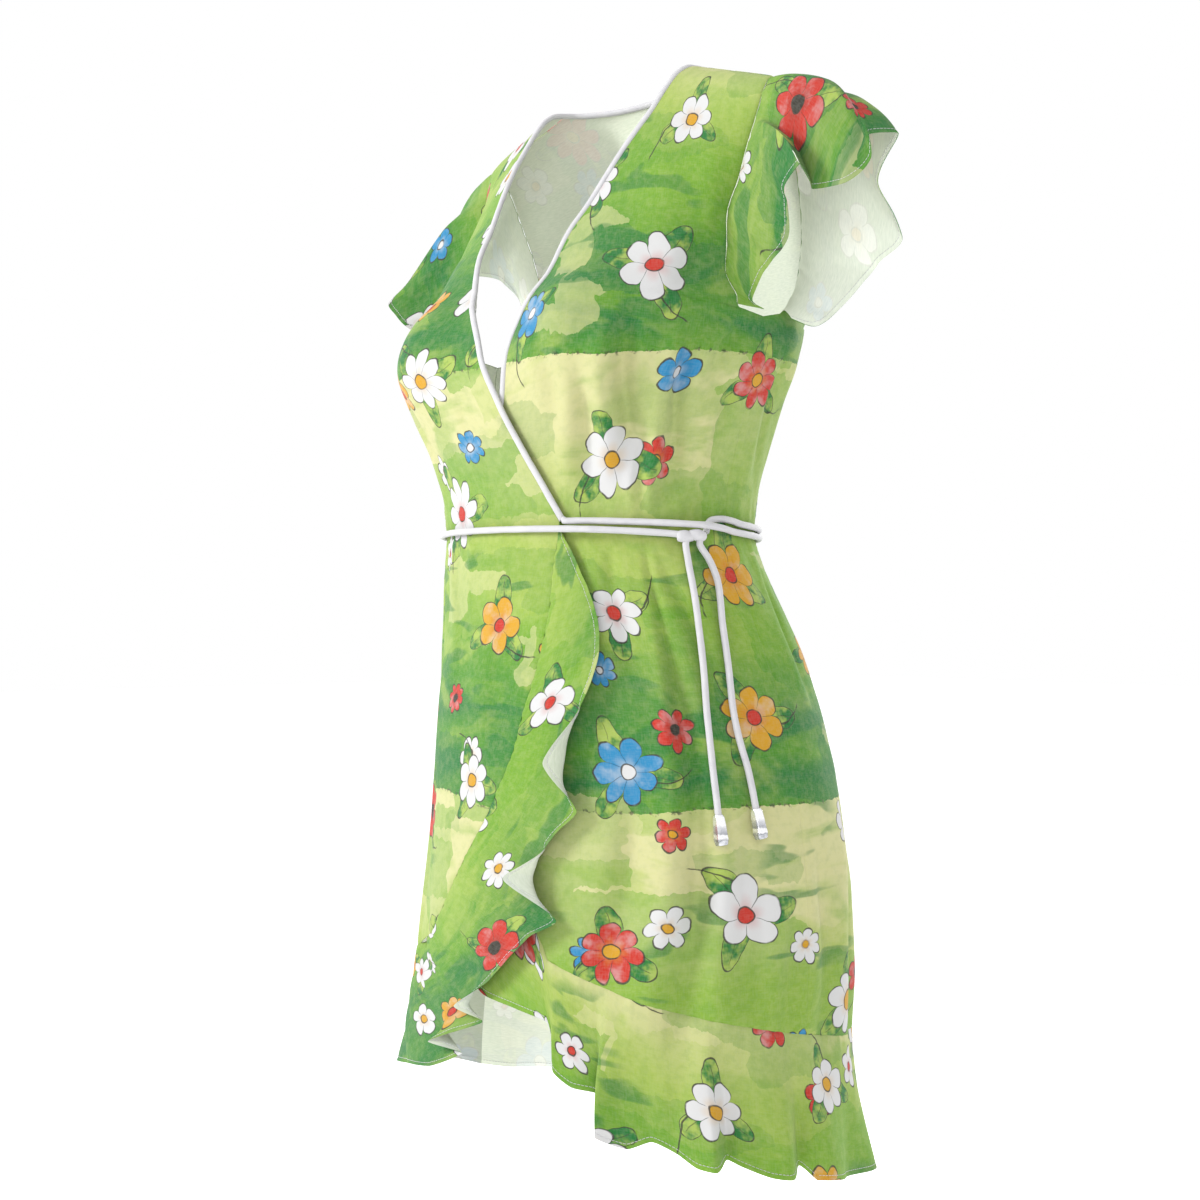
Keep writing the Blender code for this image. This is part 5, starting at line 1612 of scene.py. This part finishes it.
@dataclass
class FlutterSleeve:
    """A short cap sleeve that hangs in flutes from the armhole."""

    side: Side
    form: DressForm
    end: float = 0.015
    swell: float = 0.35
    columns: int = 230
    middle: tuple[float, float, float] = (0.166, 0.022, -0.105)
    print_shift: tuple[float, float] = (0.0, 0.0)

    def armhole(self, along: Array) -> tuple[Array, Array, Array]:
        """The panels' armhole edge.

        Args:
            along: shares round it from the underarm up the front and down the back.

        Returns:
            Points, the ways onward from the panel, and the ways out of the form.
        """
        side = int(self.side)
        fine = np.linspace(0.0, 1.0, 161)
        row = np.abs(2 * fine - 1)
        front = self.form.front_place(self.side, 1.0, row)
        back = self.form.back_place(0.0, row)
        ahead = fine < 0.5
        angle = np.where(ahead, front[0], back[0] * side)
        level = np.minimum(np.where(ahead, front[1], back[1]), -0.0004)
        edge, out = self.form.bare(angle, level), self.form.outwards(angle, level)
        run = unit(np.gradient(softened(edge, 3), axis=0))
        beyond = unit(np.cross(run, out)) * side
        beyond = unit(softened(beyond, 4))
        return reading(fine, edge, along), unit(reading(fine, beyond, along)), unit(reading(fine, out, along))

    def build(self) -> ClothGrid:
        """Builds the sleeve, and hides the imported solid that it stands for.

        Returns:
            Its grid.
        """
        side = int(self.side)
        along = np.linspace(self.end, 1 - self.end, self.columns)
        sewn, onward, _ = self.armhole(along)
        mirror = np.array((side, 1.0, 1.0))
        end = Curve(RIGHT_FLUTTER if side < 0 else LEFT_FLUTTER)(along) * mirror
        hang = end - sewn
        length = np.linalg.norm(hang, axis=1, keepdims=True)
        away = (sewn - np.array(self.middle) * mirror) * np.array((0.0, 1.0, 1.0))
        swell = unit(away - hang * dot(away, hang) / dot(hang, hang))
        swell = swell * self.swell * ease(np.minimum(along, 1 - along), 0.04, 0.32)[:, None] * length
        reach = hang / 2 + swell
        stand = 0.35 * np.linalg.norm(reach, axis=1, keepdims=True)
        reach = reach + onward * np.maximum(0.0, stand - dot(reach, onward))
        start = sewn + onward * self.form.seam_gap
        down = near_edges(44, 0.08, True, True)[:, None, None]
        points = start * (1 - down) ** 2 + (sewn + reach) * 2 * down * (1 - down) + end * down ** 2
        run = run_length(points[0])
        hung = grid_run(points, 0)
        height = 0.0006 * wobble(run, 0.012, 31 + side)[None, :] * np.exp(-hung / 0.018) + seam_dip(hung)
        slanted = run[None, :] + 0.4 * hung
        height = height + 0.0008 * wobble(slanted, 0.028, 37 + side) * ease(hung, 0.01, 0.04)
        height = height + hem_groove(hung[-1:] - hung)
        taper = ease(np.minimum(along, 1 - along), 0.0, 0.08)[None, :]
        middle = (run_length(points[len(down) // 2]) + run) / 2
        flat = np.stack((np.broadcast_to(middle[None, :], hung.shape), -hung), axis=-1)
        flat = flat + np.array(self.print_shift)
        height = (height * taper)[..., None]
        if side > 0:
            points, flat, height = points[:, ::-1], flat[:, ::-1], height[:, ::-1]
        grid = ClothGrid(points, flat, FLOUNCE_CLOTH)
        grid.points = points + grid.ways_out() * height
        piece = grid.garment(f"sleeve_{self.side.word}")
        return grid


# ---- trims
def ring_faces(rings: int, sides: int) -> list[tuple[int, ...]]:
    """The faces between rings of corners that follow one another.

    Args:
        rings: how many rings.
        sides: corners in each.

    Returns:
        The faces, as corner numbers.
    """
    starts = [(ring * sides + corner, ring * sides + (corner + 1) % sides)
              for ring in range(rings - 1) for corner in range(sides)]
    return [(a, b, b + sides, a + sides) for a, b in starts]


def tube(name: str, middle: Array, outwards: Array, width: Array, thick: Array, sides: int,
         finish: Material) -> Piece:
    """A closed tube of oval section along a line.

    Args:
        name: the piece's name.
        middle: the points of its middle.
        outwards: a way out for each, which its thickness lies along.
        width: its width at each point.
        thick: its thickness at each point.
        sides: corners round it.
        finish: its material.

    Returns:
        The object.
    """
    along = unit(np.gradient(middle, axis=0))
    out = unit(outwards - along * dot(outwards, along))
    across = np.cross(out, along)
    turn = 2 * np.pi * (np.arange(sides) + 0.5) / sides
    ring = (across[:, None] * (np.cos(turn) * 0.5)[None, :, None] * width[:, None, None]
            + out[:, None] * (np.sin(turn) * 0.5)[None, :, None] * thick[:, None, None])
    vertices = np.concatenate(((middle[:, None] + ring).reshape(-1, 3), middle[:1], middle[-1:]))
    faces = ring_faces(len(middle), sides)
    last = (len(middle) - 1) * sides
    first, final = len(vertices) - 2, len(vertices) - 1
    for corner in range(sides):
        after = (corner + 1) % sides
        faces += [(after, corner, first), (last + corner, last + after, final)]
    run = run_length(middle)
    round_it = np.arange(sides) * float(np.mean(width)) * np.pi / sides
    flat = np.stack((np.repeat(run, sides), np.tile(round_it, len(middle))), axis=1)
    flat = np.concatenate((flat, [[run[0], 0.0], [run[-1], 0.0]]))
    piece = new_piece(name, vertices, faces, flat, [finish])
    return piece


@dataclass
class NeckPiping:
    """The round piping that binds both wrap edges and the back neck."""

    form: DressForm
    width: float = 0.0052
    thick: float = 0.0042
    step: float = 0.0016
    sides: int = 16

    def build(self) -> Piece:
        """Builds the piping.

        Returns:
            The piece.
        """
        down = np.concatenate((np.linspace(0.0, 1.0, 200)[1:] ** 1.4, np.linspace(1.0, 2.0, 120)[1:]))
        down = down[down > 0.012]
        angle, level = self.form.front_place(Side.RIGHT, 0.0, down[::-1])
        back_angle, back_level = self.form.back_place(np.linspace(1.0, 0.0, 400), 0.0)
        keep = back_level < -0.0006
        left_angle, left_level = self.form.front_place(Side.LEFT, 0.0, down)
        angles = np.concatenate((angle, back_angle[keep], left_angle))
        levels = np.concatenate((level, back_level[keep], left_level))
        out = np.zeros(len(angles))
        out[:len(angle)] = self.form.top_layer(angle, level)
        edge, ways = self.form.at(angles, levels, out), self.form.outwards(angles, levels)
        run = run_length(edge)
        even_run = np.linspace(0.0, run[-1], round(run[-1] / self.step))
        edge = softened(reading(run, edge, even_run), 6)
        ways = unit(softened(reading(run, ways, even_run), 24))
        beyond = unit(np.cross(unit(np.gradient(edge, axis=0)), ways))
        middle = edge + unit(softened(beyond, 8)) * (self.width / 2 + self.form.seam_gap / 2)
        uneven = 1 + 0.02 * wobble(even_run, 0.021, 41)
        finish = WhiteCloth("white binding", 0.0011, 0.8).material()
        width, thick = self.width * uneven, self.thick * uneven
        piece = tube("neck_piping", middle, ways, width, thick, self.sides, finish)
        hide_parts("piping")
        LOG.info("%s: %.2f m", piece.name, even_run[-1])
        return piece


@dataclass
class WaistTie:
    """The cord tie: two runs round the waist, its knot and its two hanging ends."""

    form: DressForm
    diameter: float = 0.005
    step: float = 0.002
    cad_step: float = 0.015
    sides: int = 16
    tip_length: float = 0.022
    tip_width: float = 0.009
    finish: WhiteCloth = WhiteCloth("white cord", 0.0013, 1.4)

    def line(self, lay: Rows, step: float) -> Array:
        """Points a step apart along a cord through the angles, levels and stand-offs of its table."""
        fine = through(lay, 12 * len(lay) + 1)
        return even(self.form.at(*np.moveaxis(fine, -1, 0)), step)

    def smooth_line(self, points: Array) -> Array:
        """A smooth line of close points through some wider ones.

        Args:
            points: the points that it keeps to.

        Returns:
            The close points.
        """
        first, last = 2 * points[0] - points[1], 2 * points[-1] - points[-2]
        padded = np.concatenate((first[None], points, last[None]))
        fine = []
        for index in range(len(points) - 1):
            p0, p1, p2, p3 = padded[index:index + 4]
            for s in np.linspace(0, 1, 8, endpoint=False):
                fine.append(0.5 * (2 * p1 + (p2 - p0) * s + (2 * p0 - 5 * p1 + 4 * p2 - p3) * s ** 2
                                   + (3 * p1 - p0 - 3 * p2 + p3) * s ** 3))
        return even(np.array(fine + [points[-1]]), self.step)

    def cord(self, name: str, middle: Array, seed: int, flatten: float = 0.03) -> Piece:
        """A round cord along a line.

        Args:
            name: the piece's name.
            middle: its middle line.
            seed: which unevenness it has.
            flatten: how far its section strays from round.

        Returns:
            The piece.
        """
        run = run_length(middle)
        uneven = flatten * wobble(run, 0.026, seed)
        centre = np.array((0.0, 0.01, 0.0))
        outwards = unit((middle - centre) * np.array((1.0, 1.0, 0.0)))
        width, thick = self.diameter * (1 + uneven), self.diameter * (1 - uneven)
        return tube(name, middle, outwards, width, thick, self.sides, self.finish.material())

    def into(self, middle: Array, *places: tuple[float, float, float]) -> Array:
        """A line carried on through more places.

        Args:
            middle: the line.
            places: the angle, level and stand-off of each place beyond its end.

        Returns:
            The longer line.
        """
        more = np.array([self.form.at(*place) for place in places])
        bend = self.smooth_line(np.concatenate((middle[-6::5], more)))
        return np.concatenate((middle[:-6], bend))

    def tails(self) -> list[Piece]:
        """Builds the two hanging ends with their metal tips.

        Returns:
            The two cords.
        """
        made = []
        for name, lay, seed in (("front", TAIL_FRONT_LAY, 51), ("back", TAIL_BACK_LAY, 53)):
            points = self.line(lay, self.cad_step)
            middle = self.into(self.smooth_line(points)[::-1], (lay[0][0] + 0.6, -0.37, 0.0092))[::-1]
            run = unit(points[-1] - points[-2])
            piece = self.cord(f"tie_end_{name}", np.concatenate((middle, middle[-1:] + run * 0.0012)), seed)
            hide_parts(f"tail_{name}")
            tip = self.tip(f"metal_end_{name}", points[-1] + run * self.form.seam_gap, run)
            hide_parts(f"tip_{name}")
            length = float(run_length(middle)[-1])
            path = [tuple(float(v) for v in p) for p in even(middle, length / 24)]
            LOG.info("%s: %.3f m", piece.name, length)
            made.append(piece)
        return made

    def tip(self, name: str, start: Array, run: Array) -> Piece:
        """One metal end: a flat-sided bar with a lip at the cord and a band above its foot.

        Args:
            name: the piece's name.
            start: the middle of its top.
            run: the way down it.

        Returns:
            The piece.
        """
        out = unit(np.array((start[0], start[1], 0.0)))
        out = unit(out - run * np.dot(out, run))
        across = np.cross(out, run)
        # share down, width, thickness and squareness of the section
        stations = ((0.0, 0.6, 0.6, 2.0), (0.004, 0.7, 0.7, 2.2), (0.03, 0.76, 0.74, 2.6),
                    (0.07, 0.78, 0.76, 3.2), (0.09, 0.8, 0.77, 4.5), (0.4, 0.88, 0.8, 7.0),
                    (0.72, 0.96, 0.84, 7.0), (0.735, 0.97, 0.85, 7.0), (0.745, 1.0, 0.88, 6.0),
                    (0.8, 1.0, 0.89, 6.0), (0.855, 1.0, 0.88, 6.0), (0.865, 0.95, 0.84, 6.0),
                    (0.88, 0.93, 0.82, 6.0), (0.96, 0.9, 0.79, 5.0), (0.99, 0.84, 0.72, 4.0),
                    (1.0, 0.74, 0.62, 4.0))
        sides, radius = 40, self.tip_width / 2
        turn = 2 * np.pi * (np.arange(sides) + 0.5) / sides
        vertices, flats = [], []
        for share, width, thick, square in stations:
            reach = (np.abs(np.cos(turn)) ** square + np.abs(np.sin(turn)) ** square) ** (-1 / square)
            ring = (across[None] * (np.cos(turn) * reach * width * radius)[:, None]
                    + out[None] * (np.sin(turn) * reach * thick * radius)[:, None])
            vertices.append(start + run * share * self.tip_length + ring)
            flats.append(np.stack((np.full(sides, share * self.tip_length), turn * radius / 3.14), axis=1))
        faces = ring_faces(len(stations), sides)
        last = (len(stations) - 1) * sides
        faces += [tuple(reversed(range(sides))), tuple(range(last, last + sides))]
        finishes = [SilveredMetal(length=self.tip_length).material()]
        piece = new_piece(name, np.concatenate(vertices), faces, np.concatenate(flats), finishes)
        piece.data.set_sharp_from_angle(angle=math.radians(28))
        return piece

    def round_waist(self) -> None:
        """Builds the two runs of cord round the waist."""
        for name, lay, step, seed in (("tie_right", TIE_RIGHT_LAY, self.cad_step, 61),
                                      ("tie_left", TIE_LEFT_LAY, self.cad_step * 0.7, 67)):
            middle = self.smooth_line(self.line(lay, step))
            if name == "tie_right":
                middle = self.into(middle, (427.0, -0.366, 0.0084), (429.5, -0.3672, 0.0086))
                middle = self.into(middle[::-1], (29.8, -0.3533, 0.0064))[::-1]
            piece = self.cord(f"cord_{name}", middle, seed)
            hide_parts(name)
            LOG.info("%s: %d faces", piece.name, len(piece.data.polygons))

    def knot(self) -> Piece:
        """Builds the knot: two folded lobes of cord with a turn between them.

        Returns:
            The piece.
        """
        angle, level, out = KNOT_LAY
        centre = self.form.at(angle, level, out)
        right = unit(self.form.at(angle + 1, level, out) - self.form.at(angle - 1, level, out))
        away = self.form.outwards(angle, level)
        up = unit(np.cross(away, -right))
        if up[2] < 0:
            up = -up
        # picture right, up and out of the middle, and width, in thousandths of a metre
        lobes = (
            ((-10.2, -0.4, 0.2, 5.0), (-9.4, -0.4, 0.5, 7.0), (-7.6, -0.3, 0.9, 8.4), (-4.6, -0.2, 1.2, 8.8),
             (-1.8, -0.4, 1.0, 8.2), (0.6, -0.8, 0.0, 6.6), (2.2, -1.2, -1.2, 4.8)),
            ((-2.6, 1.4, -0.8, 4.4), (-1.2, 1.0, 0.6, 6.0), (1.4, 0.8, 1.6, 7.6), (4.6, 0.7, 1.7, 8.6),
             (7.8, 0.1, 1.0, 8.4), (10.0, -0.7, 0.2, 7.0), (10.9, -1.1, -0.3, 5.0)),
        )
        parts = []
        for number, lobe in enumerate(lobes):
            rows = through(lobe, 40)
            middle = centre + (rows[:, :1] * right + rows[:, 1:2] * up + rows[:, 2:3] * away) / 1000
            width = rows[:, 3] / 1000
            ways = np.broadcast_to(away, middle.shape)
            name, finish = f"knot_part_{number}", self.finish.material()
            parts.append(tube(name, middle, ways, width, width * 0.92, 28, finish))
        bpy.ops.object.select_all(action="DESELECT")
        for part in parts:
            part.select_set(True)
        bpy.context.view_layer.objects.active = parts[0]
        bpy.ops.object.join()
        parts[0].name = parts[0].data.name = "cord_knot"
        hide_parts("knot")
        return parts[0]


@dataclass
class TopStitching:
    """White stitches beside a hem, on both faces of the cloth."""

    inset: float = 0.0036
    pitch: float = 0.0028
    length: float = 0.0025
    width: float = 0.00042
    height: float = 0.00026

    def build(self, name: str, grid: ClothGrid) -> Piece:
        """Sews along the free edge of a grid.

        Args:
            name: the piece's name.
            grid: the cloth, its last row the free edge.

        Returns:
            The stitches.
        """
        bodies, faces, count = [], [], 0
        turn = 2 * np.pi * np.arange(6) / 6
        ring = np.stack((np.zeros(6), np.cos(turn), np.sin(turn)), axis=1)
        shape = np.concatenate(([[-0.5, 0, 0]], ring + (-0.34, 0, 0), ring + (0.34, 0, 0), [[0.5, 0, 0]]))
        template = [(0, 1 + (c + 1) % 6, 1 + c) for c in range(6)]
        template += [(1 + c, 1 + (c + 1) % 6, 7 + (c + 1) % 6, 7 + c) for c in range(6)]
        template += [(13, 7 + c, 7 + (c + 1) % 6) for c in range(6)]
        for face in (1, -1):
            line, ways = grid.hem_line(self.inset, face)
            run = run_length(line)
            at = np.arange(self.pitch, run[-1] - self.pitch, self.pitch)
            centres, outs = reading(run, line, at), unit(reading(run, ways, at))
            ahead = unit(reading(run, line, at + self.length / 2) - reading(run, line, at - self.length / 2))
            aside = np.cross(outs, ahead)
            for centre, out, forward, across in zip(centres, outs, ahead, aside):
                bodies.append(centre + shape[:, :1] * forward * self.length
                              + shape[:, 1:2] * across * self.width / 2 + shape[:, 2:] * out * self.height)
                faces += [tuple(corner + count for corner in part) for part in template]
                count += len(shape)
        vertices = np.concatenate(bodies)
        flat = np.stack((np.arange(len(vertices)) * 0.0003, np.zeros(len(vertices))), axis=1)
        piece = new_piece(name, vertices, faces, flat, [WhiteCloth("white thread", 0.0004, 1.0).material()])
        LOG.info("%s: %d stitches", piece.name, len(bodies))
        return piece


# ---- studio
@dataclass
class Studio:
    """A plain white room with soft light and the camera."""

    azimuth: float = 50.0
    distance: float = 1.333
    height: float = -0.427
    lens: float = 50.0
    centre_pixel: tuple[float, float] = (602.0, 620.0)
    picture: float = 1200.0
    floor: float = -1.35
    aim: float = -0.43

    def camera(self) -> Piece:
        """Sets up the camera at the photograph's angle.

        Returns:
            The camera.
        """
        turn = math.radians(self.azimuth)
        data = bpy.data.cameras.new("camera")
        data.lens, data.sensor_width = self.lens, 36.0
        data.shift_x = -(self.centre_pixel[0] - self.picture / 2) / self.picture
        data.shift_y = (self.centre_pixel[1] - self.picture / 2) / self.picture
        data.clip_start, data.clip_end = 0.02, 60.0
        camera = bpy.data.objects.new("camera", data)
        camera.location = (self.distance * math.sin(turn), -self.distance * math.cos(turn), self.height)
        camera.rotation_euler = (math.radians(90), 0.0, turn)
        bpy.context.collection.objects.link(camera)
        bpy.context.scene.camera = camera
        return camera

    def lamp(self, name: str, azimuth: float, height: float, distance: float, size: float,
             power: float) -> None:
        """Adds a large soft lamp aimed at the middle of the dress.

        Args:
            name: its name.
            azimuth: where it stands, in degrees round from the front.
            height: its height.
            distance: how far off it stands.
            size: its width.
            power: its strength in watts.
        """
        data = bpy.data.lights.new(name, "AREA")
        data.shape, data.size, data.energy = "DISK", size, power
        lamp = bpy.data.objects.new(name, data)
        turn = math.radians(azimuth)
        lamp.location = (distance * math.sin(turn), -distance * math.cos(turn), height)
        rise = math.atan2(height - self.aim, distance)
        lamp.rotation_euler = (math.radians(90) - rise, 0.0, turn)
        bpy.context.collection.objects.link(lamp)

    def room(self) -> None:
        """Builds the floor, the white surroundings and the lamps."""
        bpy.ops.mesh.primitive_plane_add(size=40.0, location=(0.0, 0.0, self.floor))
        floor = bpy.context.active_object
        floor.name = "floor"
        material, bench, shader = new_material("white floor")
        cloud = bench.noise(bench.node("TexCoord", "Object"), 3.0, 2.0)
        colour = cloud.ramp(((0.3, (0.93, 0.93, 0.93)), (0.7, (0.95, 0.95, 0.95))))
        material.node_tree.links.new(colour.socket, shader.inputs["Base Color"])
        white = (1.0, 1.0, 1.0, 1.0)
        set_inputs(shader, Roughness=0.9, Emission_Color=white, Emission_Strength=0.35)
        floor.data.materials.append(material)
        world = bpy.data.worlds.new("white room")
        world.use_nodes = True
        set_inputs(world.node_tree.nodes["Background"], Color=white, Strength=1.0)
        bpy.context.scene.world = world
        # name, degrees round from the camera, height, distance, size and power
        for name, turn, *rest in (("key", -72, 0.45, 1.9, 0.7, 40.0), ("front", 4, 0.3, 2.4, 1.2, 16.0),
                                  ("back", 138, 0.45, 2.2, 0.9, 38.0), ("side", -145, 0.3, 2.4, 1.2, 18.0)):
            self.lamp(name, self.azimuth + turn, *rest)
        view = bpy.context.scene.view_settings
        view.view_transform, view.look = "Standard", "None"
        view.exposure, view.gamma = 0.0, 1.0


# ---- the dress
def main() -> None:
    """Builds every piece in order."""
    logging.basicConfig(level=logging.INFO, format="%(name)s %(message)s")
    studio = Studio()
    studio.camera()
    form = DressForm()
    tie = WaistTie(form)
    tie.tails()
    studio.room()
    cut, drape = FlatCut(form), Drape()
    FrontPanel(Side.RIGHT, form, cut, drape, print_shift=(0.37, 0.0)).build()
    FrontPanel(Side.LEFT, form, cut, drape, print_shift=(1.45, 0.0)).build()
    BackPanel(form, cut, drape).build()
    left_flounce = FrontFlounce(Side.LEFT, form, drape, print_shift=(0.83, 0.25)).build()
    right_flounce = FrontFlounce(Side.RIGHT, form, drape, print_shift=(0.11, 0.17)).build()
    back_flounce = BackFlounce(form, drape, print_shift=(float(left_flounce.flat[0, 0, 0]), 0.25),
                               sewn_to=(right_flounce.points[:, -1], left_flounce.points[:, 0]))
    hems = {
        "right_flounce": right_flounce,
        "left_flounce": left_flounce,
        "back_flounce": back_flounce.build(),
        "right_sleeve": FlutterSleeve(Side.RIGHT, form, print_shift=(0.52, 0.14)).build(),
        "left_sleeve": FlutterSleeve(Side.LEFT, form, print_shift=(0.29, 0.125)).build(),
    }
    stitching = TopStitching()
    for name, grid in hems.items():
        stitching.build(f"stitches_{name}", grid)
    NeckPiping(form).build()
    tie.round_waist()
    tie.knot()


if __name__ == "__main__":
    main()
